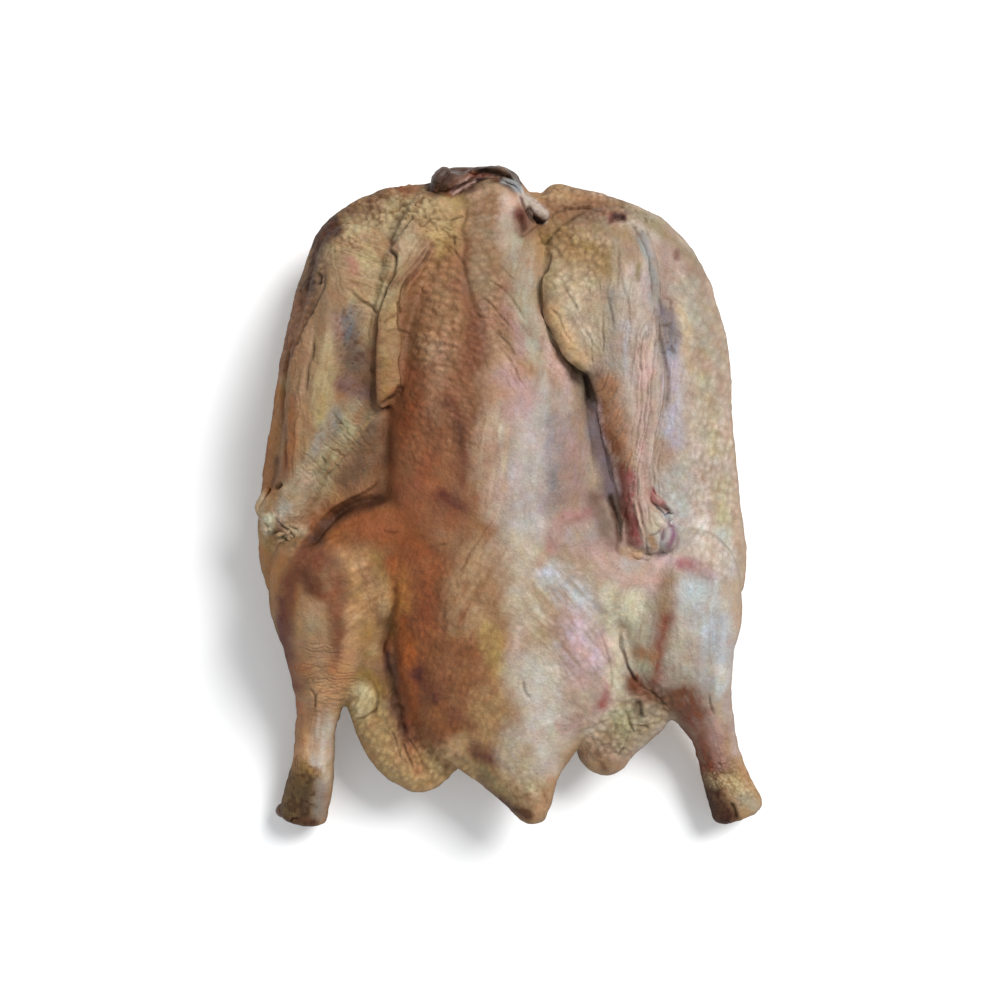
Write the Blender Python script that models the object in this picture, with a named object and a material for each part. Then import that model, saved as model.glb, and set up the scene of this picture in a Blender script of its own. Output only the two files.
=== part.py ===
"""A whole raw goose, plucked and drawn, lying flat on its breast with its back up.

Its neck is cut short, its wings end at the elbow and its legs at the hock. The bird is one piece,
so every form below is fused into one skin. Metres, +Z up, +Y towards the neck, -Y towards the tail,
with the origin on the flat spot of the breast that the bird rests on.
"""

import bmesh
import bpy
import numpy as np

MM = 0.001

# Driving sizes, in millimetres
BREAST_LEVEL = 44
BACK_HEIGHT = 117
DRUMSTICK_RADIUS = 36

# How finely the forms are made and fused, in millimetres
RING_POINTS = 40
RINGS_PER_STATION = 7
CAP_RINGS = 7
FUSE_VOXEL = 2.6
SMOOTH_STEPS = 8
REST_LEVEL = 2.5
MOST_TRIANGLES = 11500

SKIN_COLOUR = (0.62, 0.44, 0.30, 1)


def curve_through(stations, steps):
    """Catmull-Rom curve through the rows of stations: each span is the cubic whose end slopes are
    half the difference of the neighbouring rows, sampled at equal steps."""
    rows = np.asarray(stations, float)
    padded = np.vstack([2 * rows[0] - rows[1], rows, 2 * rows[-1] - rows[-2]])
    where = np.linspace(0, len(rows) - 1, (len(rows) - 1) * steps + 1)
    span = np.minimum(where.astype(int), len(rows) - 2)
    t = (where - span)[:, None]
    before, start, end, after = (padded[span + k] for k in range(4))
    return 0.5 * (
        2 * start
        + (end - before) * t
        + (2 * before - 5 * start + 4 * end - after) * t**2
        + (3 * start - before - 3 * end + after) * t**3
    )


def swept(stations, caps=(20, 20), power=2.0, heading=None):
    """Points and faces of a closed form swept along a path.

    A station is (x, y, z, half width, rise, drop). The section at each one is a superellipse of
    that power in the plane across the path, or across the heading if one is given: level sideways,
    rise above the path and drop below it. Both ends close as domes of the lengths in caps."""
    rows = curve_through(stations, RINGS_PER_STATION)
    centre, size = rows[:, :3], np.maximum(rows[:, 3:], 0.5)
    if heading is None:
        along = np.gradient(centre, axis=0)
    else:
        along = np.tile(np.array(heading, float), (len(centre), 1))
    along /= np.linalg.norm(along, axis=1, keepdims=True)
    quarter = np.linspace(0, np.pi / 2, CAP_RINGS + 1)[1:, None]
    first = centre[0] - along[0] * caps[0] * np.sin(quarter[::-1])
    last = centre[-1] + along[-1] * caps[1] * np.sin(quarter)
    centre = np.vstack([first, centre, last])
    size = np.vstack([size[0] * np.cos(quarter[::-1]), size, size[-1] * np.cos(quarter)])
    along = np.vstack([np.repeat(along[:1], CAP_RINGS, 0), along, np.repeat(along[-1:], CAP_RINGS, 0)])
    side = np.cross(along, (0, 0, 1))
    side /= np.linalg.norm(side, axis=1, keepdims=True)
    up = np.cross(side, along)

    angle = np.linspace(0, 2 * np.pi, RING_POINTS, endpoint=False)
    across = np.sign(np.cos(angle)) * np.abs(np.cos(angle)) ** (2 / power)
    over = np.sign(np.sin(angle)) * np.abs(np.sin(angle)) ** (2 / power)
    height = np.where(over > 0, size[:, 1:2] * over, size[:, 2:3] * over)
    points = (
        centre[:, None]
        + side[:, None] * (size[:, :1] * across)[..., None]
        + up[:, None] * height[..., None]
    )
    rings = len(centre)
    ring = np.arange(rings - 1)[:, None] * RING_POINTS
    here = np.arange(RING_POINTS)[None]
    there = (here + 1) % RING_POINTS
    quads = np.stack(
        [ring + here, ring + there, ring + RING_POINTS + there, ring + RING_POINTS + here], -1
    )
    return points.reshape(-1, 3) * MM, quads.reshape(-1, 4)


def add_form(bird, stations, caps=(20, 20), power=2.0, heading=None):
    """Adds one swept form to the bird's mesh, its two end rings welded into poles."""
    points, quads = swept(stations, caps, power, heading)
    corners = [bird.verts.new(p) for p in points]
    made = [bird.faces.new([corners[i] for i in quad]) for quad in quads.tolist()]
    for pole in (corners[:RING_POINTS], corners[-RING_POINTS:]):
        bmesh.ops.pointmerge(bird, verts=pole, merge_co=pole[0].co)
    kept = [face for face in made if face.is_valid]
    bmesh.ops.recalc_face_normals(bird, faces=kept)
    if sum(face.calc_center_median().dot(face.normal) * face.calc_area() for face in kept) < 0:
        bmesh.ops.reverse_faces(bird, faces=kept)


def add_breast(bird):
    """The wide, flattened breast and flanks that the bird lies on, from the shoulder fronts back."""
    level = BREAST_LEVEL
    add_form(
        bird,
        [
            (-17, 185, level + 13, 58, 12, 22),
            (-7, 175, level + 10, 90, 20, 34),
            (-4, 160, level + 5, 109, 30, 42),
            (-1, 142, level + 2, 120, 36, 44),
            (1, 116, level, 130, 39, level - 1),
            (1, 84, level, 137, 41, level - 1),
            (-1, 42, level, 142, 41, level - 1),
            (-2, 0, level, 147, 39, level - 1),
            (0, -36, level, 149, 37, level - 2),
            (2, -66, level, 140, 34, level - 4),
            (5, -94, level + 1, 112, 31, level - 8),
            (7, -120, level + 3, 84, 26, level - 15),
        ],
        caps=(4, 30),
        power=2.2,
        heading=(0, -1, 0),
    )


def add_back(bird):
    """The narrower back and pelvis on top, from the neck to the tail, and the low band of flesh
    that runs down it beside the right wing."""
    top = BACK_HEIGHT
    add_form(
        bird,
        [
            (-10, 164, 66, 34, 0.78 * top - 66, 30),
            (-10, 140, 68, 42, 0.85 * top - 68, 32),
            (-11, 113, 70, 50, 0.91 * top - 70, 34),
            (-12, 84, 72, 55, 0.96 * top - 72, 36),
            (-9, 54, 72, 59, 0.985 * top - 72, 36),
            (-7, 24, 70, 62, top - 70, 36),
            (-5, -6, 68, 65, 0.98 * top - 68, 36),
            (-1, -36, 66, 69, 0.95 * top - 66, 36),
            (1, -66, 62, 68, 0.90 * top - 62, 34),
            (4, -100, 58, 69, 0.82 * top - 58, 30),
            (2, -128, 54, 60, 0.74 * top - 54, 26),
            (0, -148, 54, 48, 0.67 * top - 54, 20),
            (6, -166, 56, 30, 0.60 * top - 56, 14),
            (10, -175, 56, 22, 12, 12),
            (14, -184, 56, 15.5, 10, 11),
            (17, -192, 55, 9.5, 8, 9),
        ],
        caps=(22, 6),
        power=2.15,
        heading=(0, -1, 0),
    )
    add_form(
        bird,
        [(45, 66, 84, 8, 6, 12), (50, 44, 85, 9, 6, 12), (56, 20, 84, 10, 6, 12), (64, -4, 82, 10, 5, 12)],
        caps=(8, 12),
    )


def add_belly(bird):
    """The slack lobes of belly skin and fat that show either side of the tail."""
    left = [
        (-66, -98, 48, 30, 20, 28),
        (-66, -122, 46, 29, 17, 24),
        (-56, -146, 45, 29, 14, 19),
        (-44, -160, 44, 25, 11, 15),
    ]
    right = [
        (80, -92, 50, 32, 22, 28),
        (76, -114, 50, 32, 18, 24),
        (68, -134, 48, 29, 15, 19),
        (62, -154, 46, 17, 10, 13),
    ]
    for lobe in (left, right):
        add_form(bird, lobe, caps=(20, 16), power=2.2)


def add_left_wing(bird):
    """The left upper wing lies out over the flank, cut off at the elbow, with a lower web of skin
    spread from it towards the back."""
    add_form(
        bird,
        [
            (-84, 140, 76, 26, 18, 22),
            (-90, 124, 82, 24, 18, 22),
            (-98, 102, 87, 20, 17, 20),
            (-106, 82, 87, 19, 17, 20),
            (-110, 56, 85, 18, 16, 20),
            (-116, 27, 80, 16, 14, 18),
            (-123, 3, 73, 14, 13, 16),
            (-130, -14, 67, 19, 13, 17),
        ],
        caps=(22, 7),
    )
    add_form(
        bird,
        [
            (-76, 122, 82, 15, 12, 16),
            (-82, 96, 84, 17, 11, 16),
            (-86, 66, 82, 19, 9, 16),
            (-91, 38, 77, 22, 8, 16),
            (-98, 14, 70, 22, 8, 14),
            (-107, -8, 63, 15, 8, 12),
        ],
        caps=(14, 8),
        power=2.3,
    )


def add_right_wing(bird):
    """The right upper wing stands higher, close along the back. It narrows to a thin shaft before
    the cut elbow, and a lobe of skin hangs from its inner side over the back."""
    add_form(
        bird,
        [
            (60, 152, 80, 26, 18, 22),
            (62, 134, 88, 29, 19, 24),
            (64, 112, 93, 28, 18, 24),
            (67, 90, 96, 24, 17, 22),
            (71, 68, 97, 20, 15, 18),
            (73, 44, 97, 16.5, 13, 14),
            (75, 21, 95, 12.5, 11, 11),
            (77, 0, 92, 10, 10, 10),
            (83, -18, 88, 15, 12, 14),
            (84, -27, 87, 15, 12, 14),
        ],
        caps=(20, 4),
    )
    add_form(
        bird,
        [
            (44, 146, 88, 18, 14, 14),
            (40, 126, 95, 18, 13, 14),
            (39, 106, 100, 13, 10, 14),
            (44, 88, 102, 10, 8, 14),
            (49, 77, 102, 7, 6, 10),
        ],
        caps=(16, 5),
    )


def add_leg(bird, hip, knee, drumstick):
    """One leg: a thigh from hip to knee, and a drumstick along its path, swelling below the knee,
    narrowing to the shank and flaring at the cut hock. Its path gives (x, y, z, share of the
    drumstick's radius)."""
    hip, knee = np.array(hip, float), np.array(knee, float)
    thigh = hip + (knee - hip) * np.linspace(0, 1, 4)[:, None]
    swell = np.array([1.1, 1.06, 0.98, 0.9]) * DRUMSTICK_RADIUS
    rows = [(*p, r, 0.55 * r, 0.8 * r) for p, r in zip(thigh.tolist(), swell)]
    add_form(bird, rows, caps=(34, 22), power=1.9)
    rows = []
    for x, y, z, share in drumstick:
        radius = share * DRUMSTICK_RADIUS
        rows.append((x, y, z, radius, 0.82 * radius, 0.82 * radius))
    add_form(bird, rows, caps=(30, 4))


def add_legs(bird):
    """The left leg lies straighter, and the right one turns out at the hock."""
    add_leg(
        bird,
        (-40, -34, 82),
        (-98, -42, 68),
        [
            (-104, -44, 64, 1.0),
            (-104, -66, 62, 1.0),
            (-105, -86, 58, 0.84),
            (-109, -106, 52, 0.60),
            (-112, -124, 44, 0.42),
            (-115, -143, 36, 0.35),
            (-117, -161, 29, 0.37),
            (-121, -182, 23, 0.42),
            (-125, -200, 20, 0.42),
        ],
    )
    add_leg(
        bird,
        (48, -34, 80),
        (98, -46, 68),
        [
            (108, -48, 66, 0.94),
            (107, -70, 64, 1.0),
            (108, -90, 60, 0.92),
            (113, -108, 54, 0.76),
            (120, -124, 46, 0.58),
            (128, -142, 37, 0.42),
            (134, -160, 30, 0.37),
            (140, -179, 24, 0.42),
            (147, -196, 21, 0.47),
        ],
    )


def add_neck(bird):
    """The stump of the cut neck, pulled to the left, with the ridge of neck skin over its root."""
    add_form(
        bird,
        [(-12, 152, 70, 24, 16, 20), (-15, 174, 68, 26, 11, 15), (-16, 192, 66, 26, 9, 11)],
        caps=(10, 5),
        power=2.8,
        heading=(0, 1, 0),
    )
    add_form(
        bird,
        [
            (-5, 176, 74, 18, 12, 14),
            (0, 156, 84, 21, 12, 16),
            (4, 132, 93, 20, 12, 16),
            (5, 102, 98, 18, 13, 16),
        ],
        caps=(8, 30),
    )


def add_collar(bird):
    """The slack fold of skin that runs from the neck down between the back and the left wing, and
    the cut end of the windpipe beside the neck."""
    add_form(
        bird,
        [
            (-38, 168, 78, 18, 11, 14),
            (-50, 148, 86, 15, 10, 14),
            (-60, 126, 93, 12, 9, 14),
            (-66, 96, 96, 9, 8, 14),
            (-67, 70, 95, 8, 7, 12),
            (-70, 56, 93, 5, 5, 8),
        ],
        caps=(10, 5),
    )
    windpipe = [(12, 178, 81, 3, 3, 6), (18, 171, 83, 4, 4, 7), (22, 167, 83, 4.7, 4.5, 7)]
    add_form(bird, windpipe, caps=(3, 3))


# Folds and pits pressed into the skin from above, in millimetres: the line each follows, and its
# half width and depth. A ridge has a negative depth.
FOLDS = (
    (((-66, 146), (-64, 132), (-71, 114), (-74, 96), (-73, 74), (-75, 46)), 3.2, 6),
    (((-36, 150), (-48, 137), (-56, 124), (-64, 110)), 3.2, 3),
    (((-69, -32), (-64, -60), (-66, -84), (-70, -104), (-64, -122), (-58, -150)), 5.0, 8),
    (((62, -56), (69, -80), (80, -104), (94, -124)), 4.5, 7),
    (((-116, -38), (-104, -12), (-86, -4), (-64, 0)), 5.5, 6),
    (((80, 156), (86, 134), (90, 112), (93, 84), (95, 58), (92, 20)), 8.0, 5),
    (((8, 174), (12, 161), (14, 148)), 4.5, 12),
    (((44, 66), (52, 40), (57, 16), (64, -6)), 4.0, 3),
    (((-104, 142), (-108, 126), (-117, 98), (-127, 74), (-124, 40)), 4.0, 4),
    (((-60, 66), (-64, 56), (-70, 47)), 4.0, 8),
    (((61, 164), (68, 163), (76, 160)), 3.5, 4),
    (((-19, 172), (-18, 134), (-13, 88)), 5.0, 2),
    (((24, -20), (34, -8), (48, -12), (56, -24)), 5.0, -2),
    (((13, -102), (14, -116)), 3.0, 2),
)


def pressed(points, normals):
    """The points with every fold pressed in: a bell-shaped furrow about its line, which fades at
    both ends and where the skin turns away from above."""
    moved = points.copy()
    flat = points[:, :2]
    for line, width, depth in FOLDS:
        ends = np.array(line, float) * MM
        near = np.full(len(points), np.inf)
        share = np.zeros(len(points))
        for i, (a, b) in enumerate(zip(ends, ends[1:])):
            t = np.clip((flat - a) @ (b - a) / ((b - a) @ (b - a)), 0, 1)
            away = np.linalg.norm(flat - a - t[:, None] * (b - a), axis=1)
            share = np.where(away < near, (i + t) / (len(ends) - 1), share)
            near = np.minimum(near, away)
        fade = np.clip(4 * np.minimum(share, 1 - share), 0, 1) * np.clip(2 * normals[:, 2], 0, 1)
        moved[:, 2] -= depth * MM * fade * np.exp(-((near / (width * MM)) ** 2))
    return moved


def fused(bird):
    """The forms joined into one skin, smoothed where they meet and cut flat at the resting level."""
    mesh = bpy.data.meshes.new("goose")
    bird.to_mesh(mesh)
    obj = bpy.data.objects.new("goose", mesh)
    bpy.context.scene.collection.objects.link(obj)
    remesh = obj.modifiers.new("Fuse", "REMESH")
    remesh.mode = "VOXEL"
    remesh.voxel_size = FUSE_VOXEL * MM
    smooth = obj.modifiers.new("Smooth", "SMOOTH")
    smooth.iterations = SMOOTH_STEPS
    smooth.factor = 0.6
    graph = bpy.context.evaluated_depsgraph_get()
    skin = bpy.data.meshes.new_from_object(obj.evaluated_get(graph), depsgraph=graph)
    obj.modifiers.clear()
    obj.data = skin
    points = np.empty(3 * len(skin.vertices), np.float32)
    normals = np.empty_like(points)
    skin.vertices.foreach_get("co", points)
    skin.vertex_normals.foreach_get("vector", normals)
    moved = pressed(points.reshape(-1, 3), normals.reshape(-1, 3))
    skin.vertices.foreach_set("co", moved.ravel())
    return obj


def coarsened(obj):
    """The skin with fewer triangles, cut flat underneath."""
    obj.data.calc_loop_triangles()
    decimate = obj.modifiers.new("Fewer", "DECIMATE")
    decimate.ratio = MOST_TRIANGLES / len(obj.data.loop_triangles)
    graph = bpy.context.evaluated_depsgraph_get()
    skin = bpy.data.meshes.new_from_object(obj.evaluated_get(graph), depsgraph=graph)
    obj.modifiers.clear()
    cut = bmesh.new()
    cut.from_mesh(skin)
    everything = cut.verts[:] + cut.edges[:] + cut.faces[:]
    level = (0, 0, REST_LEVEL * MM)
    section = bmesh.ops.bisect_plane(
        cut, geom=everything, dist=1e-7, plane_co=level, plane_no=(0, 0, 1), clear_inner=True
    )
    rim = [g for g in section["geom_cut"] if isinstance(g, bmesh.types.BMEdge)]
    bmesh.ops.contextual_create(cut, geom=rim)
    bmesh.ops.translate(cut, verts=cut.verts[:], vec=(0, 0, -REST_LEVEL * MM))
    bmesh.ops.triangulate(cut, faces=cut.faces[:])
    cut.to_mesh(skin)
    cut.free()
    obj.data = skin
    return obj


def skin_material():
    """Pale, slightly damp raw skin."""
    made = bpy.data.materials.new("skin")
    made.use_nodes = True
    shader = made.node_tree.nodes["Principled BSDF"]
    shader.inputs["Base Color"].default_value = SKIN_COLOUR
    shader.inputs["Roughness"].default_value = 0.45
    shader.inputs["Metallic"].default_value = 0.0
    return made


def main():
    for old in list(bpy.data.objects):
        bpy.data.objects.remove(old)
    bird = bmesh.new()
    add_breast(bird)
    add_back(bird)
    add_belly(bird)
    add_left_wing(bird)
    add_right_wing(bird)
    add_legs(bird)
    add_neck(bird)
    add_collar(bird)
    goose = coarsened(fused(bird))
    bird.free()
    goose.data.materials.clear()
    goose.data.materials.append(skin_material())
    goose.data.shade_smooth()


main()
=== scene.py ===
"""A whole raw goose, plucked and drawn, lying on its breast with its back up.

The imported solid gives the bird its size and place. This script makes the skin again as one finer
surface: the same fused forms, then folds, pebbled follicles and wrinkles pressed into it, and the
colours of raw skin brushed over it. The meat of the cut neck, the windpipe, the bone ends at the
elbows and the swollen ends of the hocks are pieces of their own.

Lengths are millimetres, unless a name says metres. Places on the skin are told as they look from
straight above, in the picture plane: across and down, in units of one pixel of a picture that is
1000 pixels square, which is about 0.6 mm on the bird's back.
"""

import bpy
import numpy as np
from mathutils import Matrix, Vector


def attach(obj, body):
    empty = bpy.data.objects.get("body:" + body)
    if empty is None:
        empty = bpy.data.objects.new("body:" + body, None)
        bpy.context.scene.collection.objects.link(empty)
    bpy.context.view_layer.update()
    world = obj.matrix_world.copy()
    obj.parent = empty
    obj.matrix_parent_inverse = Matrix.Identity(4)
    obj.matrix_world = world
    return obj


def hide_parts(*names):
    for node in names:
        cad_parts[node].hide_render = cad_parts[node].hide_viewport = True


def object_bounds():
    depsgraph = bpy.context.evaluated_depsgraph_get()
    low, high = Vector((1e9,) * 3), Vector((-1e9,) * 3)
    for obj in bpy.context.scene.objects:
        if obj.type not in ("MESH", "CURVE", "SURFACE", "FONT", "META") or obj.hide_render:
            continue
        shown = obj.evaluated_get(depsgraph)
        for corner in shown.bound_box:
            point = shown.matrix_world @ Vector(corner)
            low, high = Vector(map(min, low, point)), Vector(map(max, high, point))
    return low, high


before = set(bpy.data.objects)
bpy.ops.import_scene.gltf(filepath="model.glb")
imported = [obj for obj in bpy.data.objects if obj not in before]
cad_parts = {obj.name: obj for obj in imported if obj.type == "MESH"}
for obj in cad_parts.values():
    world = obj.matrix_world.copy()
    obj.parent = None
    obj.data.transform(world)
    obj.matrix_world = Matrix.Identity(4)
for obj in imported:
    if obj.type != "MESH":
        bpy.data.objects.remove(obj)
cad_low, cad_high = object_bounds()

MM = 0.001

# The view from straight above, in metres and in picture units
CAMERA_PLACE = (-0.0018, -0.0018, 1.10)
PICTURE_SIDE = 1000
FOCAL_LENGTH = 1733.3
SENSOR_WIDTH = 36.0

# About what one picture unit spans on the bird
PICTURE_UNIT = 0.6

# The bird's driving sizes
BREAST_LEVEL = 44
BACK_HEIGHT = 117
DRUMSTICK_RADIUS = 36
REST_LEVEL = 2.5

# How finely the skin and the small parts are made, and how steeply down a face still counts as upper
FUSE_VOXEL = 1.4
SMOOTH_STEPS = 24
SMOOTH_FACTOR = 0.6
PART_VOXEL = 0.7
UPPER_FACING = -0.25

# How uneven the small parts are
MEAT_UNEVENNESS = 1.1
BONE_UNEVENNESS = 0.6

# Directions along the bird
NECKWARDS = (0, 1, 0)
TAILWARDS = (0, -1, 0)


# Forms


def curve_through(stations, steps):
    """Catmull-Rom curve through the rows of stations: each span is the cubic whose end slopes are
    half the difference of the neighbouring rows, sampled at equal steps."""
    rows = np.asarray(stations, float)
    padded = np.vstack([2 * rows[0] - rows[1], rows, 2 * rows[-1] - rows[-2]])
    where = np.linspace(0, len(rows) - 1, (len(rows) - 1) * steps + 1)
    span = np.minimum(where.astype(int), len(rows) - 2)
    t = (where - span)[:, None]
    before, start, end, after = (padded[span + k] for k in range(4))
    return 0.5 * (
        2 * start
        + (end - before) * t
        + (2 * before - 5 * start + 4 * end - after) * t**2
        + (3 * start - before - 3 * end + after) * t**3
    )


def swept(stations, caps=(20, 20), power=2.0, heading=None, around=48, steps=7, cap_rings=7):
    """Points in metres and faces of a closed form: a profile carried along a path.

    A station is (x, y, z, half width, rise, drop). The profile is a superellipse of that power in
    the plane across the path, or across the heading if one is given: with an angle a it lies
    half width * cos(a)^(2/power) sideways, and rise or drop * sin(a)^(2/power) up or down. Both
    ends close as domes of the lengths in caps, whose rings shrink as a cosine, to one point."""
    rows = curve_through(stations, steps)
    centre, size = rows[:, :3], np.maximum(rows[:, 3:], 0.5)
    if heading is None:
        along = np.gradient(centre, axis=0)
    else:
        along = np.tile(np.array(heading, float), (len(centre), 1))
    along /= np.linalg.norm(along, axis=1, keepdims=True)
    quarter = np.linspace(0, np.pi / 2, cap_rings + 1)[1:, None]
    first = centre[0] - along[0] * caps[0] * np.sin(quarter[::-1])
    last = centre[-1] + along[-1] * caps[1] * np.sin(quarter)
    centre = np.vstack([first, centre, last])
    size = np.vstack([size[0] * np.cos(quarter[::-1]), size, size[-1] * np.cos(quarter)])
    along = np.vstack([np.repeat(along[:1], cap_rings, 0), along, np.repeat(along[-1:], cap_rings, 0)])
    side = np.cross(along, (0, 0, 1))
    side /= np.linalg.norm(side, axis=1, keepdims=True)
    up = np.cross(side, along)

    angle = np.linspace(0, 2 * np.pi, around, endpoint=False)
    across = np.sign(np.cos(angle)) * np.abs(np.cos(angle)) ** (2 / power)
    over = np.sign(np.sin(angle)) * np.abs(np.sin(angle)) ** (2 / power)
    height = np.where(over > 0, size[:, 1:2] * over, size[:, 2:3] * over)
    rings = (
        centre[:, None]
        + side[:, None] * (size[:, :1] * across)[..., None]
        + up[:, None] * height[..., None]
    )[1:-1]
    points = np.vstack([rings.reshape(-1, 3), centre[:1], centre[-1:]])
    here = np.arange(around)
    there = (here + 1) % around
    ring = np.arange(len(rings) - 1)[:, None] * around
    quads = np.stack([ring + here, ring + around + here, ring + around + there, ring + there], -1)
    end_ring = (len(rings) - 1) * around
    poles = np.full(around, rings.shape[0] * around)
    first_fan = np.stack([poles, here, there], 1)
    last_fan = np.stack([poles + 1, end_ring + there, end_ring + here], 1)
    return points * MM, quads.reshape(-1, 4).tolist() + first_fan.tolist() + last_fan.tolist()


def joined(forms):
    """Points and faces of several closed forms, as one list of each."""
    points, faces, count = [], [], 0
    for form_points, form_faces in forms:
        points.append(form_points)
        faces += [[corner + count for corner in face] for face in form_faces]
        count += len(form_points)
    return np.vstack(points), faces


def breast():
    """The wide, flattened breast and flanks that the bird lies on, from the shoulder fronts back."""
    level = BREAST_LEVEL
    stations = [
        (-17, 185, level + 13, 58, 12, 22),
        (-7, 175, level + 10, 90, 20, 34),
        (-4, 160, level + 5, 109, 30, 42),
        (-1, 142, level + 2, 120, 36, 44),
        (1, 116, level, 130, 39, level - 1),
        (1, 84, level, 137, 41, level - 1),
        (-1, 42, level, 142, 41, level - 1),
        (-2, 0, level, 147, 39, level - 1),
        (0, -36, level, 149, 37, level - 2),
        (2, -66, level, 140, 34, level - 4),
        (5, -94, level + 1, 112, 31, level - 8),
        (7, -120, level + 3, 84, 26, level - 15),
    ]
    return [swept(stations, (4, 30), power=2.2, heading=TAILWARDS)]


def back():
    """The narrower back and pelvis on top, from the neck to the tail."""
    top = BACK_HEIGHT
    stations = [
        (-10, 164, 66, 34, 0.78 * top - 66, 30),
        (-10, 140, 68, 42, 0.85 * top - 68, 32),
        (-11, 113, 70, 50, 0.91 * top - 70, 34),
        (-12, 84, 72, 55, 0.96 * top - 72, 36),
        (-9, 54, 72, 59, 0.985 * top - 72, 36),
        (-7, 24, 70, 62, top - 70, 36),
        (-5, -6, 68, 65, 0.98 * top - 68, 36),
        (-1, -36, 66, 69, 0.95 * top - 66, 36),
        (1, -66, 62, 68, 0.90 * top - 62, 34),
        (4, -100, 58, 69, 0.82 * top - 58, 30),
        (2, -128, 54, 60, 0.74 * top - 54, 26),
        (0, -148, 54, 48, 0.67 * top - 54, 20),
        (6, -166, 56, 30, 0.60 * top - 56, 14),
        (10, -175, 56, 22, 12, 12),
        (14, -184, 56, 15.5, 10, 11),
        (17, -192, 55, 9.5, 8, 9),
    ]
    beside_wing = [
        (45, 66, 84, 8, 6, 12),
        (50, 44, 85, 9, 6, 12),
        (56, 20, 84, 10, 6, 12),
        (64, -4, 82, 10, 5, 12),
    ]
    return [swept(stations, (22, 6), power=2.15, heading=TAILWARDS), swept(beside_wing, (8, 12))]


def belly():
    """The slack lobes of belly skin and fat that show either side of the tail."""
    left = [
        (-66, -98, 48, 30, 20, 28),
        (-66, -122, 46, 29, 17, 24),
        (-56, -146, 45, 29, 14, 19),
        (-44, -160, 44, 25, 11, 15),
    ]
    right = [
        (80, -92, 50, 32, 22, 28),
        (76, -114, 50, 32, 18, 24),
        (68, -134, 48, 29, 15, 19),
        (62, -154, 46, 17, 10, 13),
    ]
    return [swept(lobe, (20, 16), power=2.2) for lobe in (left, right)]


def left_wing():
    """The left upper wing out over the flank, and the web of skin spread from it to the back."""
    wing = [
        (-84, 140, 76, 26, 18, 22),
        (-90, 124, 82, 24, 18, 22),
        (-98, 102, 87, 20, 17, 20),
        (-106, 82, 87, 19, 17, 20),
        (-110, 56, 85, 18, 16, 20),
        (-116, 27, 80, 16, 14, 18),
        (-123, 3, 73, 14, 13, 16),
        (-130, -14, 67, 19, 13, 17),
    ]
    web = [
        (-76, 122, 82, 15, 12, 16),
        (-82, 96, 84, 17, 11, 16),
        (-86, 66, 82, 19, 9, 16),
        (-91, 38, 77, 22, 8, 16),
        (-98, 14, 70, 22, 8, 14),
        (-107, -8, 63, 15, 8, 12),
    ]
    return [swept(wing, (22, 7)), swept(web, (14, 8), power=2.3)]


def right_wing():
    """The right upper wing close along the back, narrowing to a shaft before the cut elbow, and
    the lobe of skin that hangs from it over the back."""
    wing = [
        (60, 152, 80, 26, 18, 22),
        (62, 134, 88, 29, 19, 24),
        (64, 112, 93, 28, 18, 24),
        (67, 90, 96, 24, 17, 22),
        (71, 68, 97, 20, 15, 18),
        (73, 44, 97, 16.5, 13, 14),
        (75, 21, 95, 12.5, 11, 11),
        (77, 0, 92, 10, 10, 10),
        (83, -18, 88, 15, 12, 14),
        (84, -27, 87, 15, 12, 14),
    ]
    lobe = [
        (44, 146, 88, 18, 14, 14),
        (40, 126, 95, 18, 13, 14),
        (39, 106, 100, 13, 10, 14),
        (44, 88, 102, 10, 8, 14),
        (49, 77, 102, 7, 6, 10),
    ]
    return [swept(wing, (20, 4)), swept(lobe, (16, 5))]


def leg(hip, knee, drumstick):
    """A thigh from hip to knee, and a drumstick that swells below the knee, narrows to the shank
    and flares at the cut hock. Its path gives (x, y, z, share of the drumstick's radius)."""
    hip, knee = np.array(hip, float), np.array(knee, float)
    thigh = hip + (knee - hip) * np.linspace(0, 1, 4)[:, None]
    swell = np.array([1.1, 1.06, 0.98, 0.9]) * DRUMSTICK_RADIUS
    upper = np.column_stack([thigh, swell, 0.55 * swell, 0.8 * swell])
    path = np.array(drumstick, float)
    radius = path[:, 3:] * DRUMSTICK_RADIUS
    lower = np.hstack([path[:, :3], radius, 0.82 * radius, 0.82 * radius])
    return [swept(upper, (34, 22), power=1.9), swept(lower, (30, 4))]


def legs():
    """The left leg lies straighter, and the right one turns out at the hock."""
    left = [
        (-104, -44, 64, 1.0),
        (-104, -66, 62, 1.0),
        (-105, -86, 58, 0.84),
        (-109, -106, 52, 0.60),
        (-112, -124, 44, 0.42),
        (-115, -143, 36, 0.35),
        (-117, -161, 29, 0.37),
        (-121, -182, 23, 0.42),
        (-125, -200, 20, 0.42),
    ]
    right = [
        (108, -48, 66, 0.94),
        (107, -70, 64, 1.0),
        (108, -90, 60, 0.92),
        (113, -108, 54, 0.76),
        (120, -124, 46, 0.58),
        (128, -142, 37, 0.42),
        (134, -160, 30, 0.37),
        (140, -179, 24, 0.42),
        (147, -196, 21, 0.47),
    ]
    return leg((-40, -34, 82), (-98, -42, 68), left) + leg((48, -34, 80), (98, -46, 68), right)


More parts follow.
